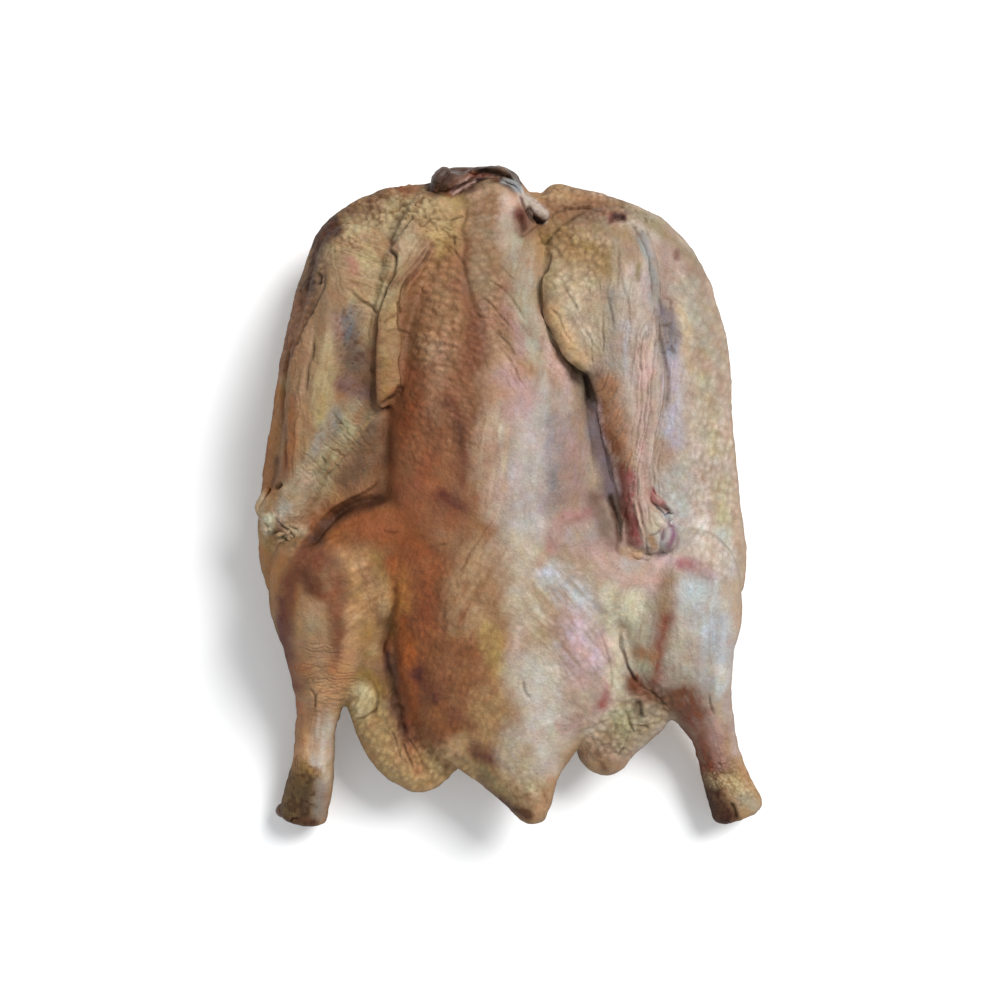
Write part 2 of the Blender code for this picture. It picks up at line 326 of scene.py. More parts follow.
def neck():
    """The stump of the cut neck, the ridge of neck skin over its root, and the slack collar that
    runs from it down between the back and the left wing."""
    stump = [(-12, 152, 70, 24, 16, 20), (-15, 174, 68, 26, 11, 15), (-16, 192, 66, 26, 9, 11)]
    ridge = [
        (-5, 176, 74, 18, 12, 14),
        (0, 156, 84, 21, 12, 16),
        (4, 132, 93, 20, 12, 16),
        (5, 102, 98, 18, 13, 16),
    ]
    collar = [
        (-38, 168, 78, 18, 11, 14),
        (-50, 148, 86, 15, 10, 14),
        (-60, 126, 93, 12, 9, 14),
        (-66, 96, 96, 9, 8, 14),
        (-67, 70, 95, 8, 7, 12),
        (-70, 56, 93, 5, 5, 8),
    ]
    return [
        swept(stump, (10, 5), power=2.8, heading=NECKWARDS),
        swept(ridge, (8, 30)),
        swept(collar, (10, 5)),
    ]


# Chance and patterns


def scattered(cells, seed):
    """A number from 0 to 1 for each row of whole numbers, scattered by multiplying and folding."""
    mixed = (cells * np.array([374761393, 668265263, 2147483629])[: cells.shape[-1]]).sum(-1)
    mixed = (mixed + seed * 1274126177) & 0xFFFFFFFF
    mixed = ((mixed ^ (mixed >> 13)) * 1274126177) & 0xFFFFFFFF
    return ((mixed ^ (mixed >> 16)) & 0xFFFFFF) / 0xFFFFFF


def ripple(places, size, seed):
    """Smooth chance height from -1 to 1 with waves of about that size: scattered values at the
    corners of a grid, blended between them by 3t^2 - 2t^3 in each direction."""
    spot = places / size
    cell = np.floor(spot).astype(np.int64)
    t = spot - cell
    t = t * t * (3 - 2 * t)
    total = np.zeros(len(places))
    for corner in np.ndindex(*(2,) * places.shape[1]):
        share = np.where(np.array(corner) == 1, t, 1 - t).prod(1)
        total += share * scattered(cell + np.array(corner), seed)
    return 2 * total - 1


def roughened(places, size, seed, octaves=3):
    """Ripples of that size with finer ones added, each half as large and half as high."""
    return sum(ripple(places, size / 2**k, seed + k) / 2**k for k in range(octaves)) / 1.6


def turned(places, degrees, along, across):
    """Places in a frame turned by that many degrees, anticlockwise as seen, and divided by the
    size of a pattern along and across that direction."""
    angle = np.radians(degrees)
    ahead = places[:, 0] * np.cos(angle) - places[:, 1] * np.sin(angle)
    beside = places[:, 0] * np.sin(angle) + places[:, 1] * np.cos(angle)
    return np.stack([ahead / along, beside / across], 1)


def follicles(spot, seed):
    """Soft round bumps about one unit apart, each of its own height, from 0 between them to 1. One
    point is scattered in each cell of a grid, and a spot takes the highest of height * e^(-3.4 d^2)
    over the points about it."""
    cell = np.floor(spot).astype(np.int64)
    best = np.zeros(len(spot))
    for step in np.ndindex(3, 3):
        other = cell + np.array(step) - 1
        point = other + 0.12 + 0.76 * np.stack([scattered(other, seed), scattered(other, seed + 1)], 1)
        away = ((spot - point) ** 2).sum(1)
        best = np.maximum(best, (0.5 + 0.5 * scattered(other, seed + 2)) * np.exp(-3.4 * away))
    return best


def pleats(spot, seed, sharp):
    """Long wrinkles about one unit apart that run along the first direction: 1 in a deep furrow and
    0 on the rounded skin between, whose profile is a cosine raised to the power sharp. A furrow lies
    wherever a count, which grows across the wrinkles and wanders, passes a whole number. Each has a
    depth of its own, and fades in and out."""
    count = spot[:, 1] + 1.5 * ripple(spot * (0.8, 0.25), 1.0, seed)
    count += 0.6 * ripple(spot * (2.4, 0.9), 1.0, seed + 1) + 0.25 * ripple(spot * (5.0, 2.0), 1.0, seed + 3)
    number = np.round(count)
    depth = scattered(number[:, None].astype(np.int64), seed)
    fading = ripple(np.stack([spot[:, 0] * 1.2, number * 3.7], 1), 1.0, seed + 2)
    return np.abs(np.cos(np.pi * count)) ** sharp * (0.3 + 0.7 * depth) * eased(fading, -0.75, 0.05)


def eased(value, low, high):
    """0 below low, 1 above high, and 3t^2 - 2t^3 between."""
    t = np.clip((value - low) / (high - low), 0, 1)
    return t * t * (3 - 2 * t)


def seen_at(points):
    """Where points, in metres, show from the camera: across and down in the picture plane."""
    offset = points - np.array(CAMERA_PLACE)
    scale = FOCAL_LENGTH / -offset[:, 2]
    return np.stack(
        [PICTURE_SIDE / 2 + offset[:, 0] * scale, PICTURE_SIDE / 2 - offset[:, 1] * scale], 1
    )


def beside(line, places, reach):
    """Which places come within reach of a smooth line, and for those how far off they are, how far
    along it (0 to 1), and whether they lie on its right (+1) or left (-1) as it runs."""
    ends = np.array(line, float)
    curve = curve_through(ends, 5) if len(ends) > 2 else ends
    inside = ((places > curve.min(0) - reach) & (places < curve.max(0) + reach)).all(1)
    near = np.flatnonzero(inside)
    spot = places[near]
    away = np.full(len(near), np.inf)
    share = np.zeros(len(near))
    side = np.ones(len(near))
    for i, (a, b) in enumerate(zip(curve, curve[1:])):
        span = b - a
        t = np.clip((spot - a) @ span / (span @ span), 0, 1)
        offset = spot - a - t[:, None] * span
        distance = np.linalg.norm(offset, axis=1)
        closer = distance < away
        turn = span[0] * offset[:, 1] - span[1] * offset[:, 0]
        side = np.where(closer, np.sign(turn), side)
        share = np.where(closer, (i + t) / (len(curve) - 1), share)
        away = np.minimum(away, distance)
    kept = away < reach
    return near[kept], away[kept], share[kept], side[kept]


# Relief

# Seeds of the first area's pebbles, wrinkles and streaks, from which the others count on
PEBBLE_SEED = 40
WRINKLE_SEED = 140
BROAD_STREAK_SEED = 300
FINE_STREAK_SEED = 340

# Cords of sinew at the right elbow, which stand up and are brushed pale
OUTER_CORD = ((641, 470), (640, 485), (636, 498), (635, 506), (639, 518), (644, 534), (646, 548))
INNER_CORD = ((633, 498), (637, 510), (641, 524), (643, 540))

# Creases pressed into the skin: half width, depth, how dark its bottom is, stained and with painted shade,
# and the line
CREASES = {
    "collar to wing": (2.6, 3.0, 0.9, ((397, 236), (388, 248), (394, 256), (392, 273), (382, 295),
                                       (376, 318), (374, 342), (375, 368), (373, 395), (376, 412))),
    "collar top": (1.8, 1.4, 0.8, ((414, 224), (422, 226), (432, 218), (450, 219))),
    "collar crack 1": (1.4, 1.1, 0.7, ((419, 213), (426, 219), (436, 226), (441, 234))),
    "collar crack 2": (1.3, 1.0, 0.7, ((440, 227), (448, 231), (452, 240))),
    "collar crack 3": (1.2, 0.9, 0.6, ((424, 232), (432, 231), (440, 234))),
    "collar notch": (1.6, 1.2, 0.7, ((448, 221), (456, 217), (464, 213))),
    "collar short": (1.6, 1.0, 0.7, ((431, 238), (437, 239), (443, 241))),
    "collar pit": (2.2, 1.5, 0.8, ((453, 234), (455, 240), (455, 245))),
    "collar to neck": (1.7, 1.2, 0.6, ((453, 250), (459, 258), (466, 267))),
    "collar fold": (2.2, 2.0, 0.7, ((434, 244), (422, 260), (412, 274), (400, 292))),
    "collar fold inner": (1.5, 1.1, 0.5, ((428, 244), (410, 266), (393, 290))),
    "flap pit": (2.6, 2.6, 1.0, ((397, 302), (399, 308), (401, 315))),
    "flap crease": (1.6, 1.2, 0.7, ((396, 317), (389, 320), (383, 325))),
    "flap fold": (1.5, 1.1, 0.6, ((383, 334), (395, 331), (408, 334))),
    "flap hole": (4.5, 5.0, 1.0, ((399, 382), (395, 392), (388, 400), (380, 407))),
    "flap tip": (1.6, 1.4, 0.8, ((373, 366), (375, 384), (374, 404))),
    "shoulder fold": (2.0, 1.8, 0.7, ((389, 247), (398, 234), (406, 224), (411, 212))),
    "neck ridge left": (4.5, 1.4, 0.1, ((461, 198), (465, 212), (461, 228), (466, 246), (463, 262),
                                        (468, 280), (471, 300), (478, 318))),
    "beside neck": (4.0, 4.5, 1.0, ((519, 211), (521, 221), (524, 231))),
    "hole": (3.6, 6.0, 1.0, ((527, 206), (531, 216), (541, 223))),
    "slit by the windpipe": (1.6, 2.0, 0.9, ((521, 195), (523, 203), (526, 210))),
    "under the hole": (1.7, 1.4, 0.8, ((519, 237), (528, 233), (538, 226))),
    "neck diagonal 1": (1.5, 1.1, 0.7, ((487, 277), (500, 287), (510, 296), (518, 308), (526, 322))),
    "neck diagonal 2": (1.4, 0.9, 0.5, ((480, 296), (492, 304), (503, 317), (512, 330))),
    "neck diagonal 3": (1.4, 0.9, 0.5, ((474, 314), (486, 318), (497, 316))),
    "neck diagonal 4": (1.4, 0.8, 0.5, ((496, 330), (507, 342), (517, 357))),
    "neck diagonal 5": (1.2, 0.7, 0.4, ((505, 353), (515, 366), (523, 382))),
    "neck diagonal 6": (1.2, 0.7, 0.4, ((494, 262), (506, 272), (516, 282))),
    "wing head lower": (1.8, 1.5, 0.7, ((347, 288), (360, 301), (371, 308), (378, 316))),
    "wing outer": (2.2, 2.0, 0.8, ((313, 337), (312, 352), (307, 366), (303, 393))),
    "outer band": (3.0, 2.2, 0.7, ((323, 266), (323, 288), (312, 307), (300, 330), (287, 362),
                                   (284, 390), (283, 432), (284, 457), (281, 480))),
    "outer pit": (3.5, 2.6, 0.9, ((317, 270), (318, 278), (316, 286))),
    "elbow hole": (2.6, 3.0, 1.0, ((280, 483), (276, 487), (272, 490))),
    "web outer": (1.4, 0.8, 0.4, ((331, 410), (338, 418), (343, 424))),
    "web nick": (1.5, 1.3, 0.6, ((322, 457), (326, 463), (328, 469))),
    "web lower": (1.3, 0.9, 0.4, ((352, 450), (338, 466), (328, 477), (320, 492))),
    "wing to thigh": (5.0, 3.6, 0.6, ((388, 497), (365, 500), (345, 507), (328, 520), (316, 535),
                                      (306, 547))),
    "dot": (1.2, 1.2, 1.0, ((391, 489), (391, 491))),
    "thigh slit": (1.6, 0.8, 0.5, ((381, 531), (390, 534), (398, 532))),
    "thigh mark": (2.0, 0.8, 0.6, ((424, 549), (436, 545), (447, 543))),
    "lobe edge": (2.4, 2.6, 0.9, ((550, 254), (548, 268), (543, 280), (542, 302), (546, 316),
                                  (553, 328), (560, 344), (567, 358), (575, 372))),
    "lobe crease": (1.6, 1.0, 0.4, ((563, 288), (571, 298), (578, 311))),
    "lobe crease low": (1.5, 0.9, 0.4, ((584, 325), (590, 340), (591, 352), (594, 368))),
    "lobe crease inner": (1.3, 0.7, 0.3, ((553, 306), (560, 314), (567, 330), (577, 346))),
    "lobe border": (1.4, 0.8, 0.35, ((604, 312), (602, 326), (603, 342), (600, 358))),
    "wing line 1": (1.5, 1.3, 0.7, ((617, 248), (618, 268), (617, 292))),
    "wing line 2": (1.4, 1.0, 0.5, ((621, 258), (622, 282), (627, 304), (630, 326))),
    "wing line 3": (1.3, 0.8, 0.4, ((607, 296), (611, 312), (614, 330))),
    "shoulder hole": (4.2, 3.5, 1.0, ((609, 217), (617, 218), (626, 217))),
    "shoulder top": (1.8, 1.3, 0.6, ((546, 220), (556, 214), (570, 209), (590, 207), (606, 210))),
    "wing to breast": (2.2, 2.0, 0.6, ((630, 221), (641, 235), (647, 250), (650, 280), (653, 303))),
    "valley": (2.6, 1.6, 0.5, ((656, 312), (660, 334), (666, 358), (668, 388), (664, 415))),
    "slot": (2.4, 2.5, 1.0, ((583, 373), (588, 386), (592, 398))),
    "slot foot": (2.4, 1.6, 0.5, ((612, 500), (618, 525), (620, 548))),
    "torn skin": (1.8, 1.6, 0.9, ((650, 488), (655, 500), (668, 507))),
    "elbow fold": (1.3, 1.1, 0.8, ((637, 500), (641, 512), (645, 526), (647, 540))),
    "elbow fold outer": (1.3, 0.9, 0.6, ((644, 500), (650, 514), (652, 530))),
    "bone crease": (1.5, 1.6, 0.9, ((650, 536), (656, 535), (661, 529))),
    "bone edge": (1.3, 1.2, 0.9, ((647, 538), (648, 548), (652, 553))),
    "nub gap": (1.4, 1.5, 1.0, ((273, 519), (279, 526), (287, 531), (293, 536))),
    "nub gap low": (1.3, 1.3, 0.9, ((268, 534), (277, 532), (286, 538), (296, 534))),
    "hock notch": (2.4, 2.5, 1.0, ((736, 822), (735, 813), (732, 804))),
    "hock notch left": (1.6, 1.6, 1.0, ((288, 827), (291, 820), (299, 819))),
    "back scratch": (1.4, 0.5, 0.4, ((449, 582), (468, 556), (484, 532), (496, 515))),
    "leg groove": (5.0, 3.4, 0.5, ((393, 585), (394, 605), (391, 625), (384, 645), (381, 658))),
    "leg groove low": (5.0, 3.6, 0.6, ((383, 650), (388, 680), (395, 700), (401, 722), (405, 740))),
    "belly fold": (1.8, 1.6, 0.8, ((374, 688), (378, 700), (374, 712), (365, 719), (354, 720))),
    "belly crease 1": (1.6, 1.2, 0.6, ((401, 742), (408, 756), (412, 770))),
    "belly crease 2": (1.6, 1.2, 0.6, ((408, 736), (418, 752), (424, 768))),
    "belly crease 3": (1.4, 1.0, 0.5, ((390, 730), (396, 744), (399, 758))),
    "shank crease": (1.6, 1.2, 0.7, ((307, 688), (314, 699), (314, 712))),
    "shank crease 2": (1.3, 0.8, 0.5, ((322, 686), (316, 694), (314, 702))),
    "tail slit": (2.2, 1.6, 0.9, ((523, 680), (524, 690), (531, 700))),
    "pelvis line": (1.4, 0.9, 0.5, ((600, 632), (608, 652), (612, 676), (612, 694))),
    "right leg": (2.2, 2.4, 0.9, ((619, 630), (622, 650), (629, 672), (638, 687))),
    "right leg low": (2.0, 1.6, 0.7, ((638, 687), (654, 695), (672, 708))),
    "belly pit 1": (2.6, 2.6, 0.8, ((637, 703), (640, 711), (642, 719))),
    "belly pit 2": (2.2, 2.0, 0.9, ((640, 728), (647, 729), (652, 731))),
    "belly line 1": (1.6, 1.2, 0.6, ((630, 735), (624, 748), (620, 758))),
    "belly line 2": (1.5, 1.0, 0.5, ((628, 715), (630, 726), (636, 736))),
    "shank line": (1.6, 1.0, 0.6, ((710, 694), (712, 706), (715, 716))),
}

# Ropes of skin that stand up: half width, height, and the line along the top
RIDGES = {
    "grey fold": (4.2, 1.7, ((434, 238), (420, 251), (407, 267), (396, 288))),
    "fold beside it": (3.2, 1.0, ((424, 262), (411, 282), (404, 300))),
    "fold at the collar": (3.0, 0.9, ((404, 232), (398, 252), (396, 274))),
    "neck ridge": (13.0, 1.6, ((480, 196), (479, 240), (484, 285), (494, 325))),
    "spine": (6.0, 0.8, ((499, 400), (487, 440), (484, 480), (492, 508))),
    "slot floor": (8.0, 3.2, ((592, 398), (600, 425), (607, 460), (616, 498))),
    "beside the lobe": (9.0, 2.6, ((532, 300), (542, 332), (556, 360), (570, 378))),
    "spine right": (5.0, 0.5, ((512, 420), (513, 460), (510, 500))),
    "wing bone": (7.0, 1.3, ((333, 250), (327, 310), (321, 370), (312, 430), (302, 480))),
    "wing edge": (3.0, 0.9, ((300, 372), (296, 420), (292, 465))),
    "web ridge": (2.6, 0.9, ((373, 415), (362, 431), (350, 444), (338, 459), (326, 473))),
    "wing head edge": (3.0, 0.8, ((349, 284), (361, 297), (372, 304))),
    "lobe rim": (9.0, 2.2, ((556, 262), (553, 300), (560, 322), (570, 344), (580, 364))),
    "lobe middle": (5.0, 0.8, ((572, 290), (584, 318), (592, 350))),
    "wing ridge": (4.5, 0.9, ((611, 246), (613, 290), (616, 330))),
    "wing ridge right": (5.0, 0.7, ((632, 250), (636, 300), (642, 350))),
    "shaft bone": (6.0, 0.9, ((628, 372), (632, 430), (632, 480))),
    "shoulder rim": (4.0, 0.7, ((392, 190), (412, 187), (430, 189))),
    "front rim": (3.0, 0.7, ((549, 200), (560, 188), (576, 190))),
    "thigh cord": (5.0, 0.7, ((300, 576), (292, 620), (296, 660))),
    "shank bone": (6.0, 0.8, ((318, 684), (316, 730), (318, 780))),
    "right shank bone": (5.0, 0.8, ((706, 704), (722, 744), (728, 776))),
    "leg fold": (6.0, 1.0, ((404, 560), (402, 610), (404, 660), (412, 710))),
    "belly lump 1": (9.0, 1.0, ((362, 694), (362, 712))),
    "belly lump 2": (7.0, 0.9, ((384, 742), (396, 764), (420, 780))),
    "pink fold": (4.0, 0.7, ((604, 640), (612, 668), (610, 696), (590, 720))),
    "hip fold": (6.0, 1.6, ((556, 548), (556, 531), (570, 519), (594, 515))),
    "elbow cord": (1.8, 1.2, OUTER_CORD),
    "elbow cord inner": (1.6, 0.9, INNER_CORD),
    "elbow cord outer": (1.8, 1.0, ((650, 470), (648, 490), (646, 506), (649, 520))),
}

# Where small wet glints show: half width of the area, and the line through it
GLINTS = {
    "back": (14, ((540, 478), (562, 500))),
    "back low": (12, ((545, 425), (570, 445))),
    "wing": (9, ((345, 380), (354, 394))),
    "wing grey": (10, ((348, 320), (352, 360))),
    "drumstick": (8, ((322, 726), (328, 756))),
    "drumstick right": (12, ((696, 584), (700, 650))),
    "pelvis": (16, ((470, 640), (500, 720))),
    "neck": (14, ((446, 178), (512, 176))),
    "elbow": (8, ((668, 512), (672, 536))),
}

# Skin that lies over the skin beside it: the step, how far it reaches, and its edge, with the
# higher side on the right as the line runs
LEDGES = {
    "flap": (3.4, 12, ((415, 266), (401, 288), (398, 308), (397, 330), (400, 356), (400, 380),
                       (395, 395), (382, 407))),
    "lobe": (3.0, 10, ((577, 374), (567, 359), (560, 344), (553, 328), (545, 315), (542, 300),
                       (543, 279), (549, 262), (551, 250))),
    "right wing": (2.6, 16, ((632, 226), (640, 238), (647, 256), (648, 280), (652, 303), (657, 333),
                             (662, 358), (664, 388), (660, 417), (655, 439), (653, 468), (653, 488))),
    "back over the slot": (1.5, 14, ((585, 374), (587, 406), (589, 434), (592, 457), (599, 488))),
    "shaft": (2.0, 12, ((622, 550), (620, 520), (618, 486), (614, 463), (606, 439), (600, 417),
                        (596, 395), (586, 375))),
    "web": (2.6, 14, ((379, 476), (374, 485), (362, 492), (345, 500), (332, 508), (318, 521), (308, 536))),
    "web side": (1.6, 20, ((380, 414), (384, 440), (383, 460), (378, 480))),
    "left wing": (1.8, 14, ((280, 484), (284, 457), (283, 432), (284, 392), (287, 362), (300, 330),
                            (312, 307), (322, 290), (324, 266))),
    "web ridge": (0.8, 8, ((326, 474), (340, 458), (352, 443), (362, 431), (374, 414))),
    "belly fold": (1.4, 12, ((373, 686), (378, 700), (374, 712), (365, 719), (352, 720))),
    "neck skin": (3.4, 10, ((458, 195), (466, 189), (474, 184), (484, 181), (496, 179), (507, 182),
                            (516, 187), (524, 197))),
    "red flap": (0.9, 8, ((594, 728), (606, 704), (613, 690), (613, 664), (606, 640))),
}

# Pebbled skin: height, size of a bump along and across, its direction, half width of the area, and
# the line through its middle
PEBBLES = {
    "neck ridge": (0.9, 9, 5.5, 20, 20, ((481, 196), (482, 240), (485, 300), (490, 340))),
    "collar": (0.9, 8, 6, 0, 22, ((432, 215), (425, 250))),
    "left shoulder": (1.5, 7, 5.5, 25, 34, ((352, 225), (380, 208), (415, 198))),
    "left band": (0.8, 6.5, 5, 60, 15, ((320, 250), (300, 310), (288, 350))),
    "wing head": (0.35, 5, 4, -20, 30, ((352, 262), (372, 280))),
    "back rows": (1.7, 12, 7, -8, 27, ((442, 276), (440, 310), (440, 350))),
    "red band": (0.7, 8, 5.5, -30, 22, ((476, 330), (466, 380), (462, 440))),
    "back left": (0.6, 8, 6, -20, 26, ((430, 350), (430, 400), (420, 450))),
    "right shoulder": (1.6, 8, 6.5, 40, 28, ((562, 236), (584, 248), (574, 280))),
    "right front": (1.0, 6, 5, 10, 18, ((546, 200), (575, 199), (625, 213))),
    "lobe": (0.4, 8, 5, 60, 26, ((566, 290), (580, 330))),
    "right breast": (0.55, 9, 6, 70, 34, ((700, 280), (714, 380), (722, 470))),
    "right breast low": (0.7, 8, 5.5, 80, 28, ((712, 440), (720, 520), (716, 560))),
    "right flank": (0.4, 7, 5.5, 60, 26, ((680, 470), (684, 530))),
    "left lobe": (1.3, 9, 5.5, 50, 34, ((374, 715), (400, 752), (436, 770))),
    "left lobe inner": (0.9, 8, 6, 30, 26, ((436, 772), (462, 770))),
    "right lobe": (1.5, 8, 6, 20, 28, ((612, 738), (640, 715), (655, 706))),
    "pelvis": (0.45, 9, 5.5, 70, 60, ((440, 600), (450, 680), (470, 730))),
    "pelvis right": (0.3, 9, 6, -50, 50, ((560, 600), (580, 690))),
    "tail": (0.4, 7, 5.5, 10, 28, ((495, 780), (530, 795))),
    "left thigh": (0.3, 8, 6, 20, 50, ((320, 545), (360, 590))),
    "right hock": (1.2, 3.6, 2.8, -30, 18, ((714, 778), (732, 776), (744, 790))),
    "left elbow": (0.7, 6, 5, 0, 22, ((262, 524), (290, 530))),
}

# Wrinkled skin: depth, how long and how far apart the wrinkles are, their direction, half width of
# the area, and the line through its middle
WRINKLES = {
    "wing head": (0.7, 34, 4.4, -20, 27, ((358, 256), (372, 272), (366, 290))),
    "wing head top": (0.4, 26, 4.6, -12, 18, ((345, 238), (380, 236))),
    "wing head left": (0.4, 30, 4.2, -78, 12, ((331, 248), (336, 300))),
    "shoulder": (0.35, 20, 5.0, -62, 26, ((392, 196), (386, 225), (384, 240))),
    "collar folds": (0.5, 26, 4.6, 52, 14, ((424, 246), (398, 282))),
    "collar cracks": (0.7, 14, 6.0, -20, 20, ((422, 214), (446, 236))),
    "flap": (0.35, 14, 5.5, 10, 12, ((388, 300), (388, 380))),
    "web upper": (0.7, 18, 4.8, -48, 24, ((356, 420), (338, 440), (318, 466))),
    "web lower": (0.35, 16, 5.0, -62, 24, ((372, 440), (350, 478), (320, 505))),
    "wing outer": (0.6, 36, 4.4, 80, 12, ((292, 376), (292, 420), (292, 468))),
    "wing long": (0.3, 36, 5.2, 82, 22, ((326, 320), (322, 400), (312, 450))),
    "wing grey": (0.3, 12, 4.0, 70, 16, ((348, 310), (354, 380))),
    "wing end": (0.4, 14, 4.6, 60, 18, ((306, 480), (290, 508))),
    "drumstick": (0.6, 22, 4.2, 4, 27, ((318, 662), (336, 686))),
    "drumstick low": (0.4, 22, 4.6, -8, 18, ((326, 694), (312, 706))),
    "thigh": (0.2, 24, 6.0, 30, 34, ((340, 560), (372, 620))),
    "grey streaks": (0.6, 32, 4.4, 84, 15, ((610, 290), (618, 330), (622, 366))),
    "wing centre": (0.55, 40, 4.6, 84, 22, ((630, 250), (640, 330), (646, 370))),
    "shaft inner": (0.55, 26, 4.6, 60, 18, ((606, 384), (616, 420), (626, 462))),
    "shaft outer": (0.8, 46, 4.4, 84, 19, ((642, 340), (648, 390), (646, 450), (645, 484))),
    "muscle": (0.6, 30, 4.4, 80, 11, ((630, 492), (633, 530))),
    "shaft rim": (0.4, 30, 5.0, 86, 12, ((654, 320), (660, 400), (652, 470))),
    "valley": (0.35, 26, 5.0, 84, 14, ((662, 300), (672, 360), (670, 430))),
    "breast fine": (0.3, 22, 4.6, -50, 24, ((690, 256), (700, 312))),
    "breast long": (0.2, 34, 7.0, 80, 26, ((700, 340), (716, 440), (720, 520))),
    "neck diagonals": (0.5, 26, 8.5, -46, 20, ((500, 300), (514, 335), (522, 372))),
    "neck top": (0.35, 18, 6.0, -10, 16, ((484, 196), (486, 232))),
    "neck smooth": (0.2, 40, 6.0, 84, 18, ((520, 240), (524, 330))),
    "back ripples": (0.25, 26, 6.5, -50, 30, ((420, 400), (440, 470))),
    "spine": (0.2, 30, 5.0, 80, 20, ((492, 420), (488, 500))),
    "back right": (0.2, 26, 5.0, 84, 40, ((540, 370), (560, 440), (540, 500))),
    "beside lobe": (0.5, 22, 4.6, -50, 14, ((545, 330), (560, 366))),
    "lobe": (0.35, 26, 5.5, -62, 20, ((572, 300), (588, 345))),
    "right thigh": (0.2, 40, 7.0, 88, 36, ((690, 590), (700, 670))),
    "right thigh left": (0.22, 30, 5.0, 76, 20, ((632, 600), (646, 670))),
    "right shank": (0.3, 30, 4.6, -62, 19, ((686, 706), (714, 760))),
    "left shank": (0.35, 34, 5.0, 86, 18, ((312, 716), (312, 764))),
    "hip": (0.25, 24, 5.0, -50, 26, ((580, 540), (610, 556))),
    "pelvis right": (0.22, 26, 5.5, -50, 44, ((560, 610), (590, 690))),
    "pelvis left": (0.25, 26, 5.0, 76, 46, ((415, 590), (420, 700))),
    "pelvis middle": (0.2, 24, 6.0, 60, 36, ((480, 560), (490, 680))),
    "tail": (0.2, 18, 5.0, -60, 24, ((510, 765), (530, 795))),
    "tail right": (0.3, 22, 5.0, 20, 24, ((560, 730), (600, 740))),
}

# Scaly skin at the hocks, netted by two sets of fine furrows that cross: height, how far apart the
# furrows are, their direction, half width of the area, and the line through it
NETTED = {
    "left hock": (0.3, 3.3, 40, 26, ((304, 780), (302, 815))),
    "right hock": (0.25, 3.6, 20, 20, ((716, 786), (722, 812))),
}

# Broad swells and dips that also shape the outline: half width, rise, and the line each lies along
SWELLS = {
    "beside the windpipe": (6, -6.0, ((531, 186), (541, 187))),
    "shoulder crest": (9, 1.7, ((560, 186), (580, 189), (600, 194))),
    "shoulder top": (9, 1.2, ((616, 201), (634, 207))),
    "shoulder side": (13, 1.7, ((660, 222), (688, 248), (708, 280))),
}


def wandered(places):
    """Places shifted a little by chance, so that lines laid on them waver as if grown."""
    shift = [ripple(places, 26, 3 + k) * 2.0 + ripple(places, 9, 7 + k) * 0.9 for k in range(2)]
    return places + np.stack(shift, 1)


def area(line, places, half_width):
    """Which places lie in a soft-edged area about a line, and how fully: 1 in the middle, easing
    to 0 from half its width to a fifth beyond it."""
    near, away, _, _ = beside(line, places, 1.2 * half_width)
    return near, 1 - eased(away, 0.5 * half_width, 1.2 * half_width)


def add_pebbles(drawn, shown, pebble):
    """Pebbles on the shown height, and how far up a pebble each point is, which the colour later paints
    paler on top and darker between, as brown gaps and painted shade.
    """
    for k, (rise, along, across, degrees, half_width, line) in enumerate(PEBBLES.values()):
        near, share = area(line, drawn, half_width)
        bump = follicles(turned(drawn[near], degrees, along, across), PEBBLE_SEED + 3 * k)
        shown[near] += 1.1 * rise * share * (bump - 0.4)
        pebble[near] += share * min(1, 0.35 + 0.65 * rise) * (bump - 0.45)


def add_wrinkles(places, drawn, shown, crease, streak):
    """Wrinkles in the shown height, with the bottoms stained and darkened with painted shade, and lighter
    and darker streaks along them, the streaks darker in the furrows as painted shade.
    """
    for k, (depth, along, across, degrees, half_width, line) in enumerate(WRINKLES.values()):
        near, share = area(line, drawn, half_width)
        spot = turned(0.5 * (places[near] + drawn[near]), degrees, along, across)
        cut = pleats(spot, WRINKLE_SEED + 3 * k, 2 + 7 * depth)
        band = 0.7 * ripple(spot * (0.8, 0.6), 1.0, BROAD_STREAK_SEED + k)
        band += 0.6 * ripple(spot * (1.5, 1.7), 1.0, FINE_STREAK_SEED + k)
        streak[near] += share * (band - 0.3 * cut)
        shown[near] -= 1.4 * depth**1.4 * share * cut
        crease[near] = np.maximum(crease[near], min(0.5, 0.65 * depth**2) * share * cut)


def add_nets(places, drawn, shown, pebble):
    """Scales between two sets of furrows that cross: the product of two cosines, which also paints the
    scales lighter and the furrows darker, as pattern and painted shade.
    """
    for rise, size, degrees, half_width, line in NETTED.values():
        near, share = area(line, drawn, half_width)
        spot = 2 * np.pi * turned(0.8 * places[near] + 0.2 * drawn[near], degrees, size, size)
        net = np.cos(spot[:, 0]) * np.cos(spot[:, 1])
        shown[near] += rise * share * net
        pebble[near] += 0.35 * share * net


def add_ridges(drawn, shown):
    """Ropes of skin, bell-shaped across and fading at their ends."""
    for half_width, rise, line in RIDGES.values():
        near, away, share, _ = beside(line, drawn, 2.5 * half_width)
        ends = eased(np.minimum(share, 1 - share), -0.05, 0.25)
        shown[near] += rise * ends * np.exp(-((away / half_width) ** 2))


def add_ledges(drawn, shown, crease):
    """Steps at the edges of skin that lies over other skin, with painted shade in the corner below: a dark
    line, broad on the low side and thin on the high side.
    """
    for step, reach, line in LEDGES.values():
        near, away, share, side = beside(line, drawn, 3 * reach)
        ends = eased(np.minimum(share, 1 - share), 0, 0.12)
        over = 1 / (1 + np.exp(-side * away / 0.7))
        shown[near] += step * ends * (over - 0.35) * np.exp(-away / reach)
        # Painted shade in the corner below the step
        low = np.where(side < 0, np.exp(-((away / 1.8) ** 2)), np.exp(-((away / 0.6) ** 2)))
        crease[near] = np.maximum(crease[near], eased(step, 1.4, 3.6) * 0.8 * ends * low)


